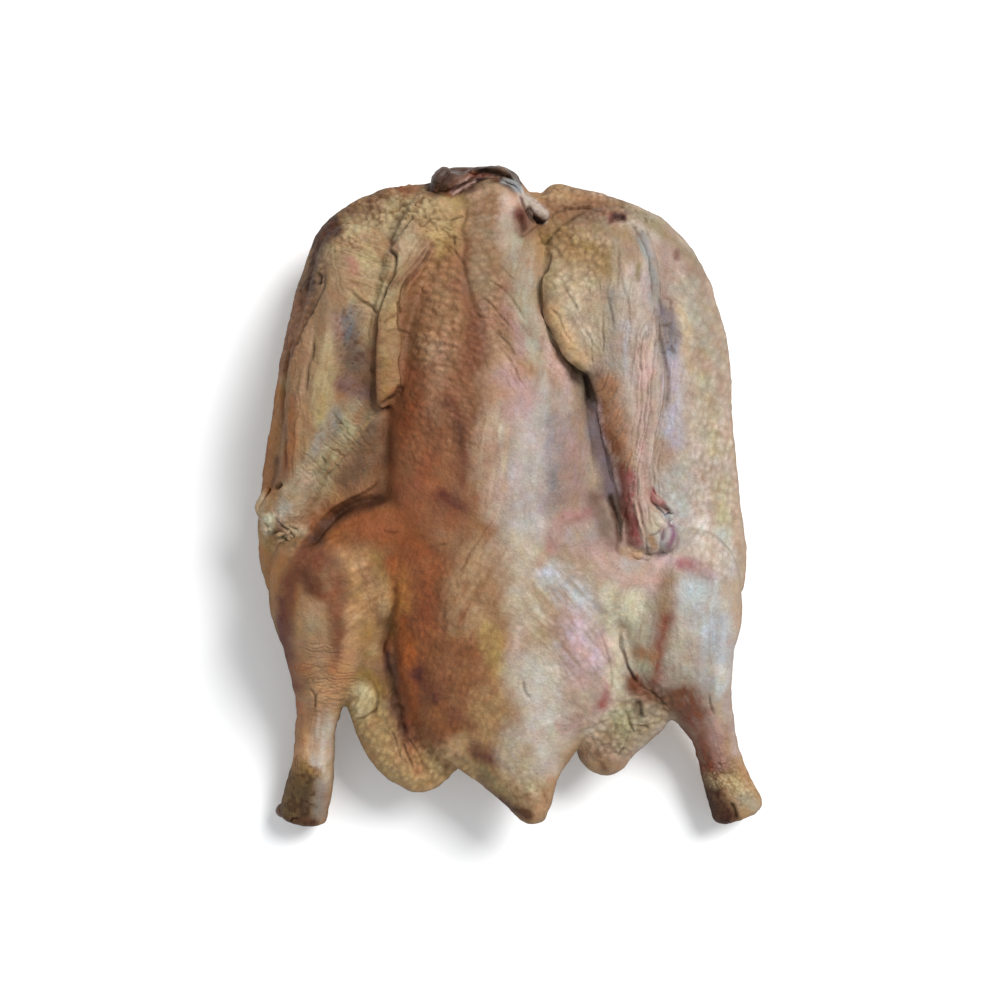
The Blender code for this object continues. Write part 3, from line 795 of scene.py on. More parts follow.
def add_creases(drawn, shown, crease):
    """Creases of uneven depth, with a low lip beside each and its bottom stained and darkened with painted
    shade.
    """
    for half_width, depth, dark, line in CREASES.values():
        near, away, share, _ = beside(line, drawn, 6 * half_width)
        ends = eased(np.minimum(share, 1 - share), -0.05, 0.2)
        vary = 0.8 + 0.35 * ripple(drawn[near], 14, 30)
        cut = np.exp(-((away / (0.8 * half_width)) ** 2))
        lip = np.exp(-((away / (2.6 * half_width)) ** 2))
        shown[near] -= depth * ends * vary * (1.25 * cut - 0.25 * lip)
        # The dark bottom of the crease: stained, and painted shade
        stain_and_shade = dark * ends * vary * np.exp(-((away / (0.5 * half_width + 0.3)) ** 2))
        crease[near] = np.maximum(crease[near], stain_and_shade)


def relief(points, normals):
    """How far each point of the skin stands out, in mm, with how deep it lies in a crease or in the corner
    below a ledge, which the colour later darkens, stained and with painted shade, and how far up a pebble,
    each from 0 to 1, and how light a streak along the wrinkles is, from -1 to 1. What is drawn in the
    picture plane fades where the skin turns away from the camera."""
    places = seen_at(points)
    drawn = wandered(places)
    facing = eased(normals[:, 2], 0.08, 0.5)
    in_mm = points / MM
    height = 0.7 * ripple(in_mm, 24, 11) + 0.4 * ripple(in_mm, 9, 12)
    height += (1 - facing) * (0.4 * ripple(in_mm, 5, 15) + 0.2 * ripple(in_mm, 2.6, 16))
    for half_width, rise, line in SWELLS.values():
        near, away, _, _ = beside(line, places, 2.5 * half_width)
        height[near] += rise * np.exp(-((away / half_width) ** 2))
    shown = 0.2 * ripple(places, 7, 13) + 0.17 * ripple(places, 3.4, 14)
    crease = np.zeros(len(points))
    pebble = np.full(len(points), 0.5)
    streak = np.zeros(len(points))
    add_pebbles(drawn, shown, pebble)
    add_wrinkles(places, drawn, shown, crease, streak)
    add_nets(places, drawn, shown, pebble)
    add_ridges(drawn, shown)
    add_ledges(drawn, shown, crease)
    add_creases(drawn, shown, crease)
    crease = np.clip(facing * crease, 0, 1)
    pebble = 0.5 + facing * (np.clip(pebble, 0, 1) - 0.5)
    return height + facing * shown, crease, pebble, facing * np.clip(streak, -1, 1)


# Colours

# Finishes of raw skin, fat and meat, and of painted shade and painted highlights, as sRGB hexadecimal
# Near black: painted shade in the slot, the holes, the pits and the leg groove, and the darkest meat and
# hock skin
INK = "30201c"
STUMP = "472818"
COCOA = "54341f"
RUSSET = "6e4028"
OXBLOOD = "5a1e16"
MAROON = "5c2c22"
MAHOGANY = "863c22"
UMBER = "684428"
SEPIA = "604a2c"
BISTRE = "664c38"
SIENNA = "764a30"
CHESTNUT = "864820"
RUST = "8c4e2e"
BRICK = "985a38"
AMBER = "9c5626"
GARNET = "90504c"
BERRY = "94565c"
RED_BROWN = "8b5f40"
BROWN = "775236"
OCHRE = "8e6646"
GINGER = "9c6834"
KHAKI = "8c6e34"
HONEY = "9a7642"
COPPER = "b47a4c"
TAN = "987854"
CLAY = "a27656"
SUEDE = "9e7c62"
FLAX = "98866a"
SAND = "a48260"
BUTTER = "a6885c"
BISQUE = "b68c64"
CREAM = "a28c68"
FAT = "c4a276"
WHEAT = "cab88c"
FAWN = "aa9078"
STRAW = "ac987a"
OLIVE_FAT = "a4864f"
OLIVE = "776746"
MOSS = "8a7054"
SAGE = "a49c76"
STONE = "98907c"
HAZE = "a08e88"
BUFF = "aa9a8c"
PALE = "aea49e"
PEARL = "a6a29a"
CHALK = "b6a892"
IVORY = "cac2a6"
LINEN = "bcb2a4"
# Colours of painted highlights
BLUE_WHITE_HIGHLIGHT = "b8c0c8"
GREY_BLUE_HIGHLIGHT = "aeb8be"
SHELL = "b8a2a8"
BLUSH = "c8aeaa"
PINK = "baa292"
PETAL = "b6968a"
ROSE = "a4827a"
DUST = "8e7464"
HEATHER = "8e7476"
MAUVE = "745a52"
LAVENDER = "a0a0b0"
GRAPE = "74485a"
PLUM = "645a60"
SMOKE = "625e5c"
SLATE = "807c76"
ASH = "90908e"

# Skin with brown specks: how dark, half width of the area, and the line through it
SPECKLED = {
    "left shoulder": (0.5, 34, ((340, 224), (372, 204), (410, 194))),
    "outer band": (0.5, 16, ((322, 240), (312, 275), (296, 320), (286, 356))),
    "left band": (0.25, 14, ((276, 392), (270, 440), (268, 490))),
    "wing grey": (0.45, 16, ((348, 312), (352, 380))),
    "right front": (0.4, 18, ((560, 196), (600, 204), (640, 220))),
    "pebbled shoulder": (0.3, 28, ((562, 236), (590, 250))),
    "back": (0.25, 40, ((440, 300), (430, 420))),
    "breast purple": (0.5, 12, ((666, 306), (668, 346))),
    "left hock": (0.5, 24, ((300, 776), (300, 812))),
    "right hock": (0.5, 24, ((716, 776), (730, 808))),
    "tail": (0.3, 20, ((516, 796), (534, 804))),
    "right lobe": (0.3, 20, ((620, 740), (640, 715))),
    "pelvis": (0.2, 50, ((430, 620), (440, 720))),
}

UNDERSIDE = "c2a88c"
# Brown for creases, the corners below ledges and the low spots of small pieces: stained, and painted shade
CREASE_STAIN_AND_SHADE = "43260f"
EXPOSURE = 0.84

# Strokes narrower than this fade on the steep sides between two levels, but not below the rows of
# the picture where only legs, lobes and tail show, and the underside begins between lower levels
WIDE_STROKE = 30
STROKES_FADE = (54, 64)
UNDERSIDE_FADES = (40, 60)
LEG_ROWS = (690, 730)

# Chance shades laid over the strokes: strength, size of the waves, seed, octaves, and how much each
# tells on red, green and blue
SHADES = (
    (0.20, 13, 80, 4, (0.8, 1.0, 1.15)),
    (0.12, 9, 110, 3, (0.5, -0.1, -1.0)),
    (0.08, 12, 116, 3, (0.5, -0.8, 0.0)),
)

# Brushed on in this order: finish, strength, half width, how firm its edge is, and the stroke. Some are
# painted shade, painted shadow, painted light or painted highlight, as the comments above them say
STROKES = {
    "back": (RED_BROWN, 1.0, 110, 0.3, ((440, 260), (430, 520))),
    "right half": (BUFF, 0.9, 100, 0.5, ((655, 250), (670, 480), (655, 680))),
    "pelvis": (CHESTNUT, 0.8, 56, 0.3, ((440, 600), (445, 720))),
    # Painted shade on the back beside the flap
    "shade beside the flap": (BROWN, 0.8, 16, 0.2, ((410, 300), (412, 360), (410, 420))),
    "back rows": (SAND, 0.5, 22, 0.2, ((440, 285), (440, 340))),
    "rosy top": (OCHRE, 0.6, 10, 0.2, ((434, 261), (460, 267))),
    "pale patch": (SUEDE, 0.7, 13, 0.2, ((440, 348), (436, 380), (436, 412))),
    "back brown": (RED_BROWN, 0.7, 16, 0.2, ((448, 400), (440, 440))),
    "red band": (SIENNA, 0.8, 12, 0.3, ((470, 268), (476, 320), (470, 370), (478, 412))),
    "rosy spine": (MAROON, 0.6, 8, 0.0, ((486, 290), (484, 350), (487, 410))),
    "spine red": (RUSSET, 0.55, 9, 0.0, ((474, 330), (480, 380), (484, 420))),
    "dark by the spine": (MAROON, 0.7, 13, 0.0, ((450, 405), (462, 432), (462, 480))),
    "darkest by the spine": (STUMP, 0.7, 8, 0.2, ((460, 430), (461, 446))),
    "warm left": (BRICK, 0.8, 26, 0.2, ((428, 462), (416, 495), (400, 520))),
    "warm streak": (BRICK, 0.6, 9, 0.2, ((400, 425), (396, 470), (400, 500))),
    "plum mottle": (SIENNA, 0.6, 9, 0.2, ((428, 420), (434, 450))),
    "left flank": (RUST, 0.7, 22, 0.2, ((410, 380), (404, 430))),
    # Painted shade in the hollow between the web and the back
    "hollow": (STUMP, 0.45, 10, 0.2, ((390, 440), (387, 462))),
    "dark red": (MAROON, 0.75, 12, 0.2, ((442, 497), (460, 505))),
    "rust tongue": (RUST, 0.6, 9, 0.2, ((452, 515), (448, 536))),
    "spine left": (FAWN, 0.85, 14, 0.35, ((494, 412), (485, 445), (484, 480), (493, 512))),
    "spine streak": (IVORY, 0.35, 6, 0.0, ((499, 398), (500, 440))),
    "back right": (PALE, 0.9, 34, 0.4, ((538, 412), (530, 470), (530, 520))),
    "spine furrow": (FAWN, 0.6, 4, 0.3, ((506, 425), (506, 500))),
    "dark spine foot": (RED_BROWN, 0.8, 7, 0.2, ((473, 484), (476, 506))),
    "neck to back": (SUEDE, 0.8, 20, 0.3, ((488, 285), (504, 335), (494, 390))),
    "pink by the spine": (ROSE, 0.8, 15, 0.2, ((506, 372), (526, 398), (512, 410))),
    "pink fold": (ROSE, 0.5, 10, 0.2, ((518, 325), (526, 350))),
    "grey back": (PLUM, 0.55, 15, 0.2, ((552, 420), (556, 455), (554, 506))),
    "tan back right": (HEATHER, 0.6, 14, 0.1, ((570, 420), (576, 460), (580, 496))),
    "pale stripe 1": (PEARL, 0.5, 6, 0.0, ((538, 360), (542, 385), (548, 408))),
    "pale stripe 2": (HAZE, 0.8, 5, 0.3, ((560, 372), (565, 392), (563, 414))),
    "rosy stripe": (DUST, 0.6, 7, 0.2, ((552, 378), (554, 410))),
    # Painted light: paler skin under the lobe's edge, lifting its shade
    "painted light under the lobe": (PETAL, 0.9, 12, 0.2, ((538, 318), (552, 352), (568, 378))),
    "neck ridge": (MOSS, 0.9, 18, 0.5, ((480, 200), (482, 280))),
    "neck furrow": (SIENNA, 0.55, 5, 0.0, ((461, 200), (464, 228), (465, 262), (470, 300), (478, 318))),
    "neck ridge top": (FAWN, 0.7, 10, 0.3, ((476, 188), (502, 187), (508, 205))),
    "neck right": (PINK, 0.8, 11, 0.4, ((506, 200), (506, 240))),
    "neck stone": (STONE, 0.8, 18, 0.2, ((514, 232), (520, 270), (526, 310), (532, 346))),
    "neck pink": (ROSE, 0.7, 8, 0.2, ((508, 312), (516, 332), (520, 352))),
    "collar": (BUTTER, 1.0, 22, 0.6, ((420, 210), (448, 208), (442, 236))),
    "collar bright": (FAT, 0.5, 9, 0.1, ((412, 208), (428, 208))),
    "collar low": (HONEY, 0.6, 9, 0.2, ((438, 246), (448, 243))),
    "collar under": (BROWN, 0.8, 8, 0.2, ((414, 236), (430, 246))),
    "collar pale": (STRAW, 0.9, 14, 0.4, ((391, 226), (408, 238), (398, 262))),
    "fold grey": (SUEDE, 0.7, 5, 0.3, ((429, 246), (416, 262), (408, 272))),
    "fold rose": (TAN, 0.8, 7, 0.3, ((412, 254), (397, 278))),
    "flap": (TAN, 0.85, 11, 0.6, ((394, 284), (386, 306), (388, 336), (390, 376))),
    "flap tip": (HONEY, 0.5, 7, 0.2, ((388, 360), (386, 396))),
    "flap light": (BUTTER, 0.5, 6, 0.1, ((392, 300), (388, 330), (386, 352))),
    "left shoulder": (CREAM, 0.9, 32, 0.5, ((350, 216), (382, 204), (418, 198))),
    "shoulder rim": (UMBER, 0.75, 10, 0.2, ((318, 240), (326, 224), (346, 209), (376, 194),
                                            (406, 186), (430, 190))),
    "shoulder red": (RUST, 0.6, 8, 0.2, ((396, 188), (412, 189))),
    "shoulder spot": (MAROON, 0.7, 7, 0.2, ((330, 226), (338, 230))),
    "shoulder yellow": (CREAM, 0.8, 13, 0.3, ((354, 232), (376, 228))),
    "shoulder dark": (MAROON, 0.5, 7, 0.2, ((356, 212), (376, 208))),
    "outer band": (STUMP, 0.95, 15, 0.6, ((326, 222), (322, 252), (316, 280), (302, 304))),
    "outer band mid": (RED_BROWN, 0.9, 12, 0.5, ((300, 300), (290, 335), (282, 365))),
    # Painted shade in the outer pit
    "outer pit": (INK, 0.6, 5, 0.2, ((318, 272), (316, 290))),
    "wing head": (CREAM, 1.0, 29, 0.7, ((350, 262), (372, 268), (366, 290))),
    "wing pink": (GARNET, 0.6, 8, 0.1, ((347, 262), (352, 272))),
    "wing flush": (TAN, 0.6, 12, 0.2, ((352, 284), (358, 292))),
    "wing shaft": (MOSS, 0.9, 15, 0.5, ((330, 262), (324, 320), (318, 400))),
    "wing grey": (SUEDE, 0.5, 8, 0.3, ((308, 330), (300, 395))),
    "wing ridge": (CREAM, 0.9, 12, 0.5, ((326, 340), (322, 380), (322, 420))),
    "wing yellow": (OLIVE_FAT, 0.4, 6, 0.3, ((324, 398), (320, 430))),
    "olive spot 1": (OLIVE, 0.8, 3.0, 0.2, ((320, 428), (322, 432))),
    "olive spot 2": (OLIVE, 0.6, 2.5, 0.2, ((318, 411), (319, 414))),
    "wing cream": (CREAM, 0.7, 8, 0.3, ((366, 312), (366, 344))),
    "wing slate": (SMOKE, 0.9, 15, 0.1, ((350, 318), (350, 336), (354, 362))),
    "wing slate dark": (BISTRE, 0.75, 13, 0.1, ((354, 352), (360, 382))),
    "wing violet": (MAUVE, 0.9, 12, 0.3, ((346, 384), (362, 394))),
    "wing lilac": (ROSE, 0.4, 5, 0.2, ((337, 316), (338, 336))),
    "web": (FLAX, 0.95, 24, 0.6, ((358, 420), (330, 450), (306, 480), (298, 512))),
    "web pale": (SAGE, 0.5, 12, 0.1, ((344, 428), (326, 458), (312, 480))),
    "web top": (OCHRE, 0.7, 7, 0.3, ((366, 404), (358, 420))),
    "web blue": (SLATE, 0.6, 9, 0.0, ((338, 416), (328, 434), (316, 450))),
    "web moss": (BISTRE, 0.9, 14, 0.4, ((374, 428), (364, 458), (350, 482))),
    "web foot": (RUSSET, 0.65, 9, 0.2, ((378, 468), (378, 492))),
    "web ridge": (TAN, 0.7, 2.5, 0.3, ((372, 416), (352, 443), (326, 474))),
    "wing outer": (CHESTNUT, 0.6, 9, 0.3, ((288, 400), (291, 440), (284, 476))),
    "wing outer tan": (TAN, 0.8, 6, 0.3, ((304, 404), (300, 455))),
    "wing end": (FAWN, 0.6, 14, 0.1, ((306, 478), (290, 512))),
    "wing end mint": (PEARL, 0.6, 8, 0.0, ((284, 508), (280, 514))),
    "band low": (GINGER, 0.95, 11, 0.6, ((274, 392), (270, 440), (268, 490))),
    "band low dark": (UMBER, 0.7, 5, 0.2, ((278, 458), (276, 486))),
    "left thigh": (CHESTNUT, 0.9, 30, 0.25, ((322, 530), (352, 522), (396, 534), (410, 552))),
    "left thigh rose": (BRICK, 0.6, 14, 0.0, ((352, 520), (376, 528), (396, 524))),
    # Painted highlight on the ridge of the left thigh
    "highlight on the left thigh": (GINGER, 0.35, 10, 0.0, ((328, 536), (346, 546))),
    "thigh red": (RUSSET, 0.6, 12, 0.1, ((352, 548), (384, 562))),
    "thigh shade": (MAROON, 0.3, 14, 0.1, ((290, 604), (320, 608), (350, 606))),
    # Painted shadow under the web's lower edge and in the groove between the wing and the thigh
    "shadow under the web": (SIENNA, 0.9, 9, 0.1, ((386, 498), (354, 505), (336, 517), (320, 532), (310, 545))),
    "shadow in the groove by the thigh": (STUMP, 0.9, 8, 0.1, ((308, 550), (318, 538), (328, 524), (343, 511), (362, 503),
                                              (378, 499))),
    "thigh sand": (HONEY, 1.0, 26, 0.4, ((362, 572), (372, 600), (370, 632))),
    "thigh pale": (BISQUE, 0.85, 15, 0.2, ((354, 562), (372, 588), (372, 612))),
    "thigh brown": (OCHRE, 0.5, 9, 0.2, ((364, 612), (374, 606))),
    "thigh yellow": (FAT, 0.7, 9, 0.2, ((386, 606), (386, 628), (374, 645))),
    "flank under elbow": (GINGER, 0.9, 17, 0.4, ((266, 545), (276, 570), (284, 600))),
    "flank top": (BUTTER, 0.7, 9, 0.1, ((262, 538), (274, 548))),
    "flank rose": (GARNET, 0.5, 4, 0.1, ((297, 552), (296, 576))),
    # Painted shade along the left edge of the drumstick, the side away from the light
    "shade on the left drumstick's rim": (RUSSET, 0.95, 12, 0.3, ((288, 580), (285, 630), (294, 684))),
    "shade line on the left drumstick's rim": (OXBLOOD, 0.6, 5, 0.1, ((280, 600), (281, 640), (288, 680))),
    "drumstick maroon": (RUSSET, 1.0, 21, 0.5, ((304, 566), (314, 580), (330, 588))),
    "drumstick deep": (STUMP, 0.5, 10, 0.1, ((302, 572), (310, 588))),
    "drumstick top": (RUSSET, 0.8, 11, 0.2, ((308, 558), (324, 558), (336, 566))),
    "drumstick red": (RUSSET, 0.7, 12, 0.1, ((338, 606), (339, 636), (336, 662))),
    "drumstick rose": (BRICK, 0.5, 6, 0.0, ((334, 594), (337, 612))),
    "drumstick flush": (RUSSET, 0.6, 9, 0.0, ((330, 610), (336, 634))),
    "drumstick pale": (SAND, 0.95, 14, 0.4, ((312, 612), (309, 634), (316, 656))),
    "drumstick mint": (FLAX, 0.6, 8, 0.1, ((314, 610), (310, 628))),
    "drumstick sand": (BISQUE, 0.95, 10, 0.3, ((353, 612), (352, 650), (342, 688))),
    "drumstick low": (COPPER, 0.6, 16, 0.2, ((306, 668), (340, 674))),
    "drumstick ridge": (SAND, 0.6, 8, 0.2, ((318, 660), (322, 690))),
    "left shank": (BISQUE, 1.0, 21, 0.6, ((322, 700), (312, 740), (310, 768))),
    "left shank red": (BRICK, 0.5, 8, 0.2, ((299, 696), (296, 740))),
    # Painted highlight along the right side of the left shank
    "highlight on the left shank": (LINEN, 0.8, 12, 0.1, ((324, 722), (320, 776))),
    "left hock": (SEPIA, 0.95, 22, 0.6, ((298, 784), (296, 818))),
    "left hock dark": (INK, 0.5, 6, 0.2, ((304, 790), (302, 822))),
    "left hock edge": (COCOA, 0.8, 6, 0.2, ((279, 798), (276, 812), (288, 823), (312, 823))),
    "left hock yellow": (HONEY, 0.7, 7, 0.2, ((300, 768), (316, 774))),
    "left hock grey": (SLATE, 0.6, 9, 0.2, ((322, 786), (318, 812))),
    "belly left": (BUTTER, 1.0, 26, 0.5, ((366, 700), (392, 756), (440, 776), (466, 770))),
    "belly pale": (BUTTER, 0.6, 16, 0.2, ((380, 744), (410, 770), (440, 772))),
    "belly brown": (RUST, 0.5, 10, 0.2, ((408, 740), (418, 768))),
    "belly yellow": (FAT, 0.6, 12, 0.2, ((446, 752), (462, 744))),
    "belly olive": (KHAKI, 0.8, 11, 0.3, ((366, 676), (384, 690))),
    "belly fold": (WHEAT, 0.8, 12, 0.4, ((362, 694), (362, 708))),
    "body orange": (AMBER, 0.8, 11, 0.3, ((398, 566), (402, 610), (404, 660), (412, 718))),
    "body tan": (GINGER, 0.6, 9, 0.2, ((402, 574), (405, 606))),
    "body orange low": (AMBER, 0.7, 12, 0.2, ((408, 640), (414, 690))),
    "body red": (RUST, 0.65, 13, 0.3, ((424, 556), (428, 600), (424, 630))),
    "body dark": (RED_BROWN, 0.7, 9, 0.2, ((440, 588), (444, 634))),
    "body grey": (CREAM, 0.5, 7, 0.2, ((452, 614), (456, 632))),
    "pelvis tan": (SAND, 0.8, 24, 0.3, ((478, 556), (466, 592), (478, 620))),
    "pelvis red": (RUSSET, 0.5, 11, 0.1, ((407, 548), (412, 574))),
    "pelvis up": (SAND, 0.35, 12, 0.1, ((444, 536), (456, 546))),
    "pelvis rust": (RED_BROWN, 0.6, 20, 0.2, ((450, 660), (458, 700))),
    "pelvis orange": (OCHRE, 0.6, 9, 0.2, ((484, 604), (492, 612))),
    "pelvis olive": (OLIVE_FAT, 0.8, 13, 0.4, ((490, 634), (496, 668))),
    "pelvis ochre": (BUTTER, 0.7, 18, 0.3, ((486, 700), (480, 736))),
    "bruise 1": (MAROON, 0.85, 11, 0.1, ((419, 674), (430, 698))),
    "bruise 2": (SIENNA, 0.75, 9, 0.1, ((452, 716), (472, 728))),
    "bruise 3": (MAROON, 0.8, 12, 0.1, ((474, 750), (486, 757), (502, 760))),
    "groove": (GINGER, 0.6, 8, 0.1, ((394, 600), (392, 628), (384, 654))),
    # Painted shade in the deep groove between the left drumstick and the belly
    "groove wide": (MAROON, 0.75, 13, 0.0, ((386, 640), (390, 676), (398, 706), (406, 738))),
    "groove low": (INK, 0.5, 7, 0.0, ((387, 656), (394, 692), (401, 728))),
    "pelvis right": (CHALK, 0.95, 26, 0.3, ((518, 556), (530, 612))),
    "pelvis white": (LINEN, 1.0, 30, 0.4, ((534, 672), (546, 720), (528, 752))),
    "pelvis lilac": (PINK, 0.8, 10, 0.2, ((520, 634), (516, 656))),
    # Painted highlights on the pelvis and the slope beside it
    "highlight on the pelvis": (BLUE_WHITE_HIGHLIGHT, 0.55, 9, 0.0, ((546, 574), (556, 588), (562, 604))),
    "highlight on the slope": (BLUE_WHITE_HIGHLIGHT, 0.5, 16, 0.0, ((552, 572), (574, 590), (588, 604))),
    "right pink": (SHELL, 0.9, 20, 0.1, ((574, 628), (584, 664), (600, 650))),
    "right lilac": (PETAL, 0.7, 10, 0.0, ((580, 650), (586, 682))),
    "pink band": (PETAL, 0.8, 7, 0.2, ((604, 640), (611, 668), (609, 692))),
    "pink band low": (ROSE, 0.8, 9, 0.2, ((604, 706), (586, 722), (562, 726))),
    "pink red": (GARNET, 0.75, 6, 0.1, ((610, 686), (604, 704))),
    "cream by the leg": (IVORY, 0.7, 10, 0.2, ((608, 590), (616, 640), (618, 690))),
    "mound": (HAZE, 0.9, 18, 0.3, ((572, 536), (590, 536))),
    "mound ring": (ROSE, 0.8, 9, 0.0, ((552, 548), (554, 530), (568, 518), (592, 514))),
    "mound red": (GARNET, 0.35, 7, 0.0, ((564, 518), (590, 512))),
    "mound streaks": (ROSE, 0.5, 10, 0.2, ((580, 552), (604, 548))),
    "right hip": (PETAL, 0.7, 24, 0.3, ((616, 560), (648, 574))),
    "hip lilac": (PEARL, 0.7, 9, 0.2, ((626, 562), (638, 564))),
    "hip pink": (BLUSH, 0.9, 9, 0.2, ((662, 560), (676, 562))),
    "knee": (BERRY, 0.9, 8, 0.2, ((680, 564), (694, 567), (710, 576))),
    "right thigh yellow": (IVORY, 1.0, 15, 0.2, ((634, 604), (640, 645), (646, 672))),
    "right thigh brown": (MOSS, 0.75, 10, 0.2, ((670, 582), (663, 610), (668, 628))),
    "right thigh red": (MAHOGANY, 0.75, 10, 0.0, ((668, 620), (661, 640), (657, 662), (655, 684))),
    "right thigh dusk": (RUSSET, 0.5, 6, 0.0, ((676, 602), (671, 622), (667, 646))),
    "right thigh spot": (COPPER, 0.75, 8, 0.1, ((640, 652), (652, 657))),
    # Painted highlights on the right thigh and along its edge
    "highlight on the right thigh": (PEARL, 0.8, 26, 0.2, ((700, 590), (702, 640), (700, 672))),
    "highlight along the right thigh's edge": (GREY_BLUE_HIGHLIGHT, 0.8, 17, 0.1, ((700, 590), (710, 612), (718, 640), (718, 680))),
    "thigh mist": (LINEN, 0.7, 14, 0.2, ((708, 668), (722, 676))),
    "thigh shell": (PEARL, 0.5, 7, 0.2, ((714, 598), (714, 614))),
    "thigh cream": (CHALK, 0.8, 15, 0.1, ((682, 640), (680, 686))),
    "right shank": (RUSSET, 0.85, 23, 0.6, ((684, 700), (702, 738), (712, 766))),
    "right shank red": (RUSSET, 0.95, 13, 0.2, ((634, 684), (648, 696), (670, 706), (692, 714))),
    "right shank flank": (MAHOGANY, 0.4, 7, 0.1, ((690, 716), (702, 742), (707, 770))),
    "right shank sand": (PETAL, 0.55, 9, 0.1, ((714, 722), (722, 762))),
    "right shank grey": (HAZE, 0.6, 7, 0.2, ((730, 700), (738, 752))),
    "right hock": (STUMP, 1.0, 16, 0.6, ((711, 792), (716, 806), (722, 818))),
    "right crust": (WHEAT, 0.5, 9, 0.0, ((716, 780), (730, 782), (744, 792))),
    "right hock grey": (STONE, 0.8, 10, 0.2, ((744, 800), (754, 806))),
    "shoulder right": (BROWN, 0.8, 15, 0.3, ((548, 224), (574, 214), (602, 212))),
    "front right": (TAN, 0.6, 14, 0.4, ((546, 198), (562, 192), (574, 204))),
    "front right brown": (OCHRE, 0.7, 10, 0.2, ((574, 196), (596, 200), (616, 207))),
    "right outline": (OLIVE, 0.7, 8, 0.2, ((612, 202), (640, 214), (664, 230), (688, 254), (702, 278))),
    "crest shadow": (BROWN, 0.6, 8, 0.2, ((546, 206), (566, 208), (592, 204), (620, 204))),
    "wing top": (MOSS, 0.8, 13, 0.3, ((592, 226), (626, 234), (634, 252))),
    "wing rose": (DUST, 0.4, 9, 0.2, ((618, 244), (636, 250))),
    "wing dusk": (DUST, 0.5, 9, 0.1, ((613, 276), (616, 298))),
    "pebbled yellow": (KHAKI, 0.75, 24, 0.4, ((558, 240), (586, 254), (600, 262))),
    "pebbled brown": (TAN, 0.6, 10, 0.2, ((554, 226), (566, 252), (592, 262))),
    "lobe cream": (STRAW, 0.9, 26, 0.3, ((572, 288), (594, 300), (598, 330))),
    "lobe buff": (CHALK, 0.6, 12, 0.1, ((574, 300), (590, 340))),
    "lobe yellow": (FAT, 0.8, 12, 0.4, ((552, 314), (564, 338), (580, 362))),
    "lobe root": (CREAM, 0.7, 10, 0.2, ((556, 248), (552, 270), (550, 286))),
    "lobe tip": (OLIVE, 0.6, 4, 0.2, ((577, 364), (582, 369))),
    "wing blue": (SLATE, 0.6, 11, 0.0, ((612, 296), (614, 330), (618, 362))),
    "wing mist": (LAVENDER, 0.35, 7, 0.0, ((626, 326), (630, 372))),
    "wing olive": (OLIVE, 0.8, 4, 0.2, ((637, 264), (638, 276))),
    "wing pale": (HAZE, 0.6, 8, 0.3, ((646, 276), (648, 326))),
    "wing streaks": (PETAL, 0.7, 13, 0.3, ((642, 350), (648, 420))),
    "shaft tan": (CLAY, 0.95, 16, 0.4, ((606, 384), (616, 430), (624, 456))),
    # Brown skin at the shaft's left edge beside the slot, darkened with painted shade
    "shaft edge": (SIENNA, 0.7, 6, 0.2, ((602, 404), (610, 436), (617, 470))),
    "shaft rust": (SIENNA, 0.7, 10, 0.1, ((612, 440), (622, 474))),
    "muscle": (GARNET, 0.85, 10, 0.3, ((627, 478), (632, 506), (636, 542))),
    "muscle shadow": (MAROON, 0.8, 6, 0.1, ((620, 470), (625, 500), (629, 528), (631, 544))),
    "shaft fat": (PETAL, 0.9, 7, 0.3, ((646, 430), (646, 480), (648, 520))),
    # Lavender skin of the side in the hollow, painted paler as painted light to lift the hollow's shade
    "hollow right": (SHELL, 0.85, 9, 0.2, ((592, 408), (600, 446), (611, 492))),
    "hollow streak": (MAUVE, 0.6, 5, 0.1, ((587, 392), (590, 410))),
    # Painted shadow in the slot and at its foot
    "slot": (INK, 0.8, 4, 0.2, ((586, 376), (590, 388), (594, 400))),
    "slot foot": (STUMP, 0.9, 4, 0.2, ((611, 498), (616, 522), (620, 550))),
    "beside the mound": (MAUVE, 0.85, 13, 0.1, ((596, 502), (603, 522), (612, 542))),
    "mound shadow": (BISTRE, 0.55, 9, 0.1, ((594, 500), (604, 518), (612, 536))),
    "valley grey": (SLATE, 0.9, 7, 0.3, ((642, 236), (649, 252), (654, 280), (658, 304))),
    "valley purple": (PLUM, 0.9, 11, 0.1, ((664, 312), (670, 332), (668, 350))),
    "valley lavender": (LAVENDER, 0.6, 12, 0.0, ((670, 356), (672, 396), (674, 442))),
    "valley brown": (SUEDE, 0.5, 10, 0.2, ((664, 444), (670, 472))),
    "breast linen": (PEARL, 0.9, 17, 0.3, ((676, 478), (676, 530))),
    "breast shell": (LINEN, 0.6, 13, 0.2, ((700, 500), (702, 546))),
    "breast pink": (DUST, 0.6, 12, 0.3, ((668, 250), (668, 292))),
    "breast spot": (MAROON, 0.8, 4, 0.1, ((678, 251), (679, 256))),
    "breast flush": (DUST, 0.4, 9, 0.2, ((686, 258), (698, 272))),
    "breast sand": (STONE, 0.9, 16, 0.4, ((694, 290), (708, 350))),
    "breast yellow": (STRAW, 0.8, 6, 0.2, ((678, 306), (686, 332), (691, 368))),
    "breast brown": (SUEDE, 0.8, 8, 0.2, ((702, 352), (706, 370))),
    "breast fat": (SAGE, 0.6, 10, 0.0, ((704, 380), (710, 424), (716, 450))),
    "breast fat low": (SAGE, 0.6, 11, 0.2, ((722, 486), (724, 516))),
    "breast pale": (PEARL, 0.6, 11, 0.2, ((724, 536), (732, 570))),
    "outer rim": (MOSS, 0.5, 6, 0.2, ((700, 270), (718, 330), (724, 360))),
    "tail": (STRAW, 0.85, 22, 0.3, ((520, 756), (526, 786))),
    "tail left": (OLIVE, 0.8, 8, 0.2, ((484, 772), (496, 786), (504, 794))),
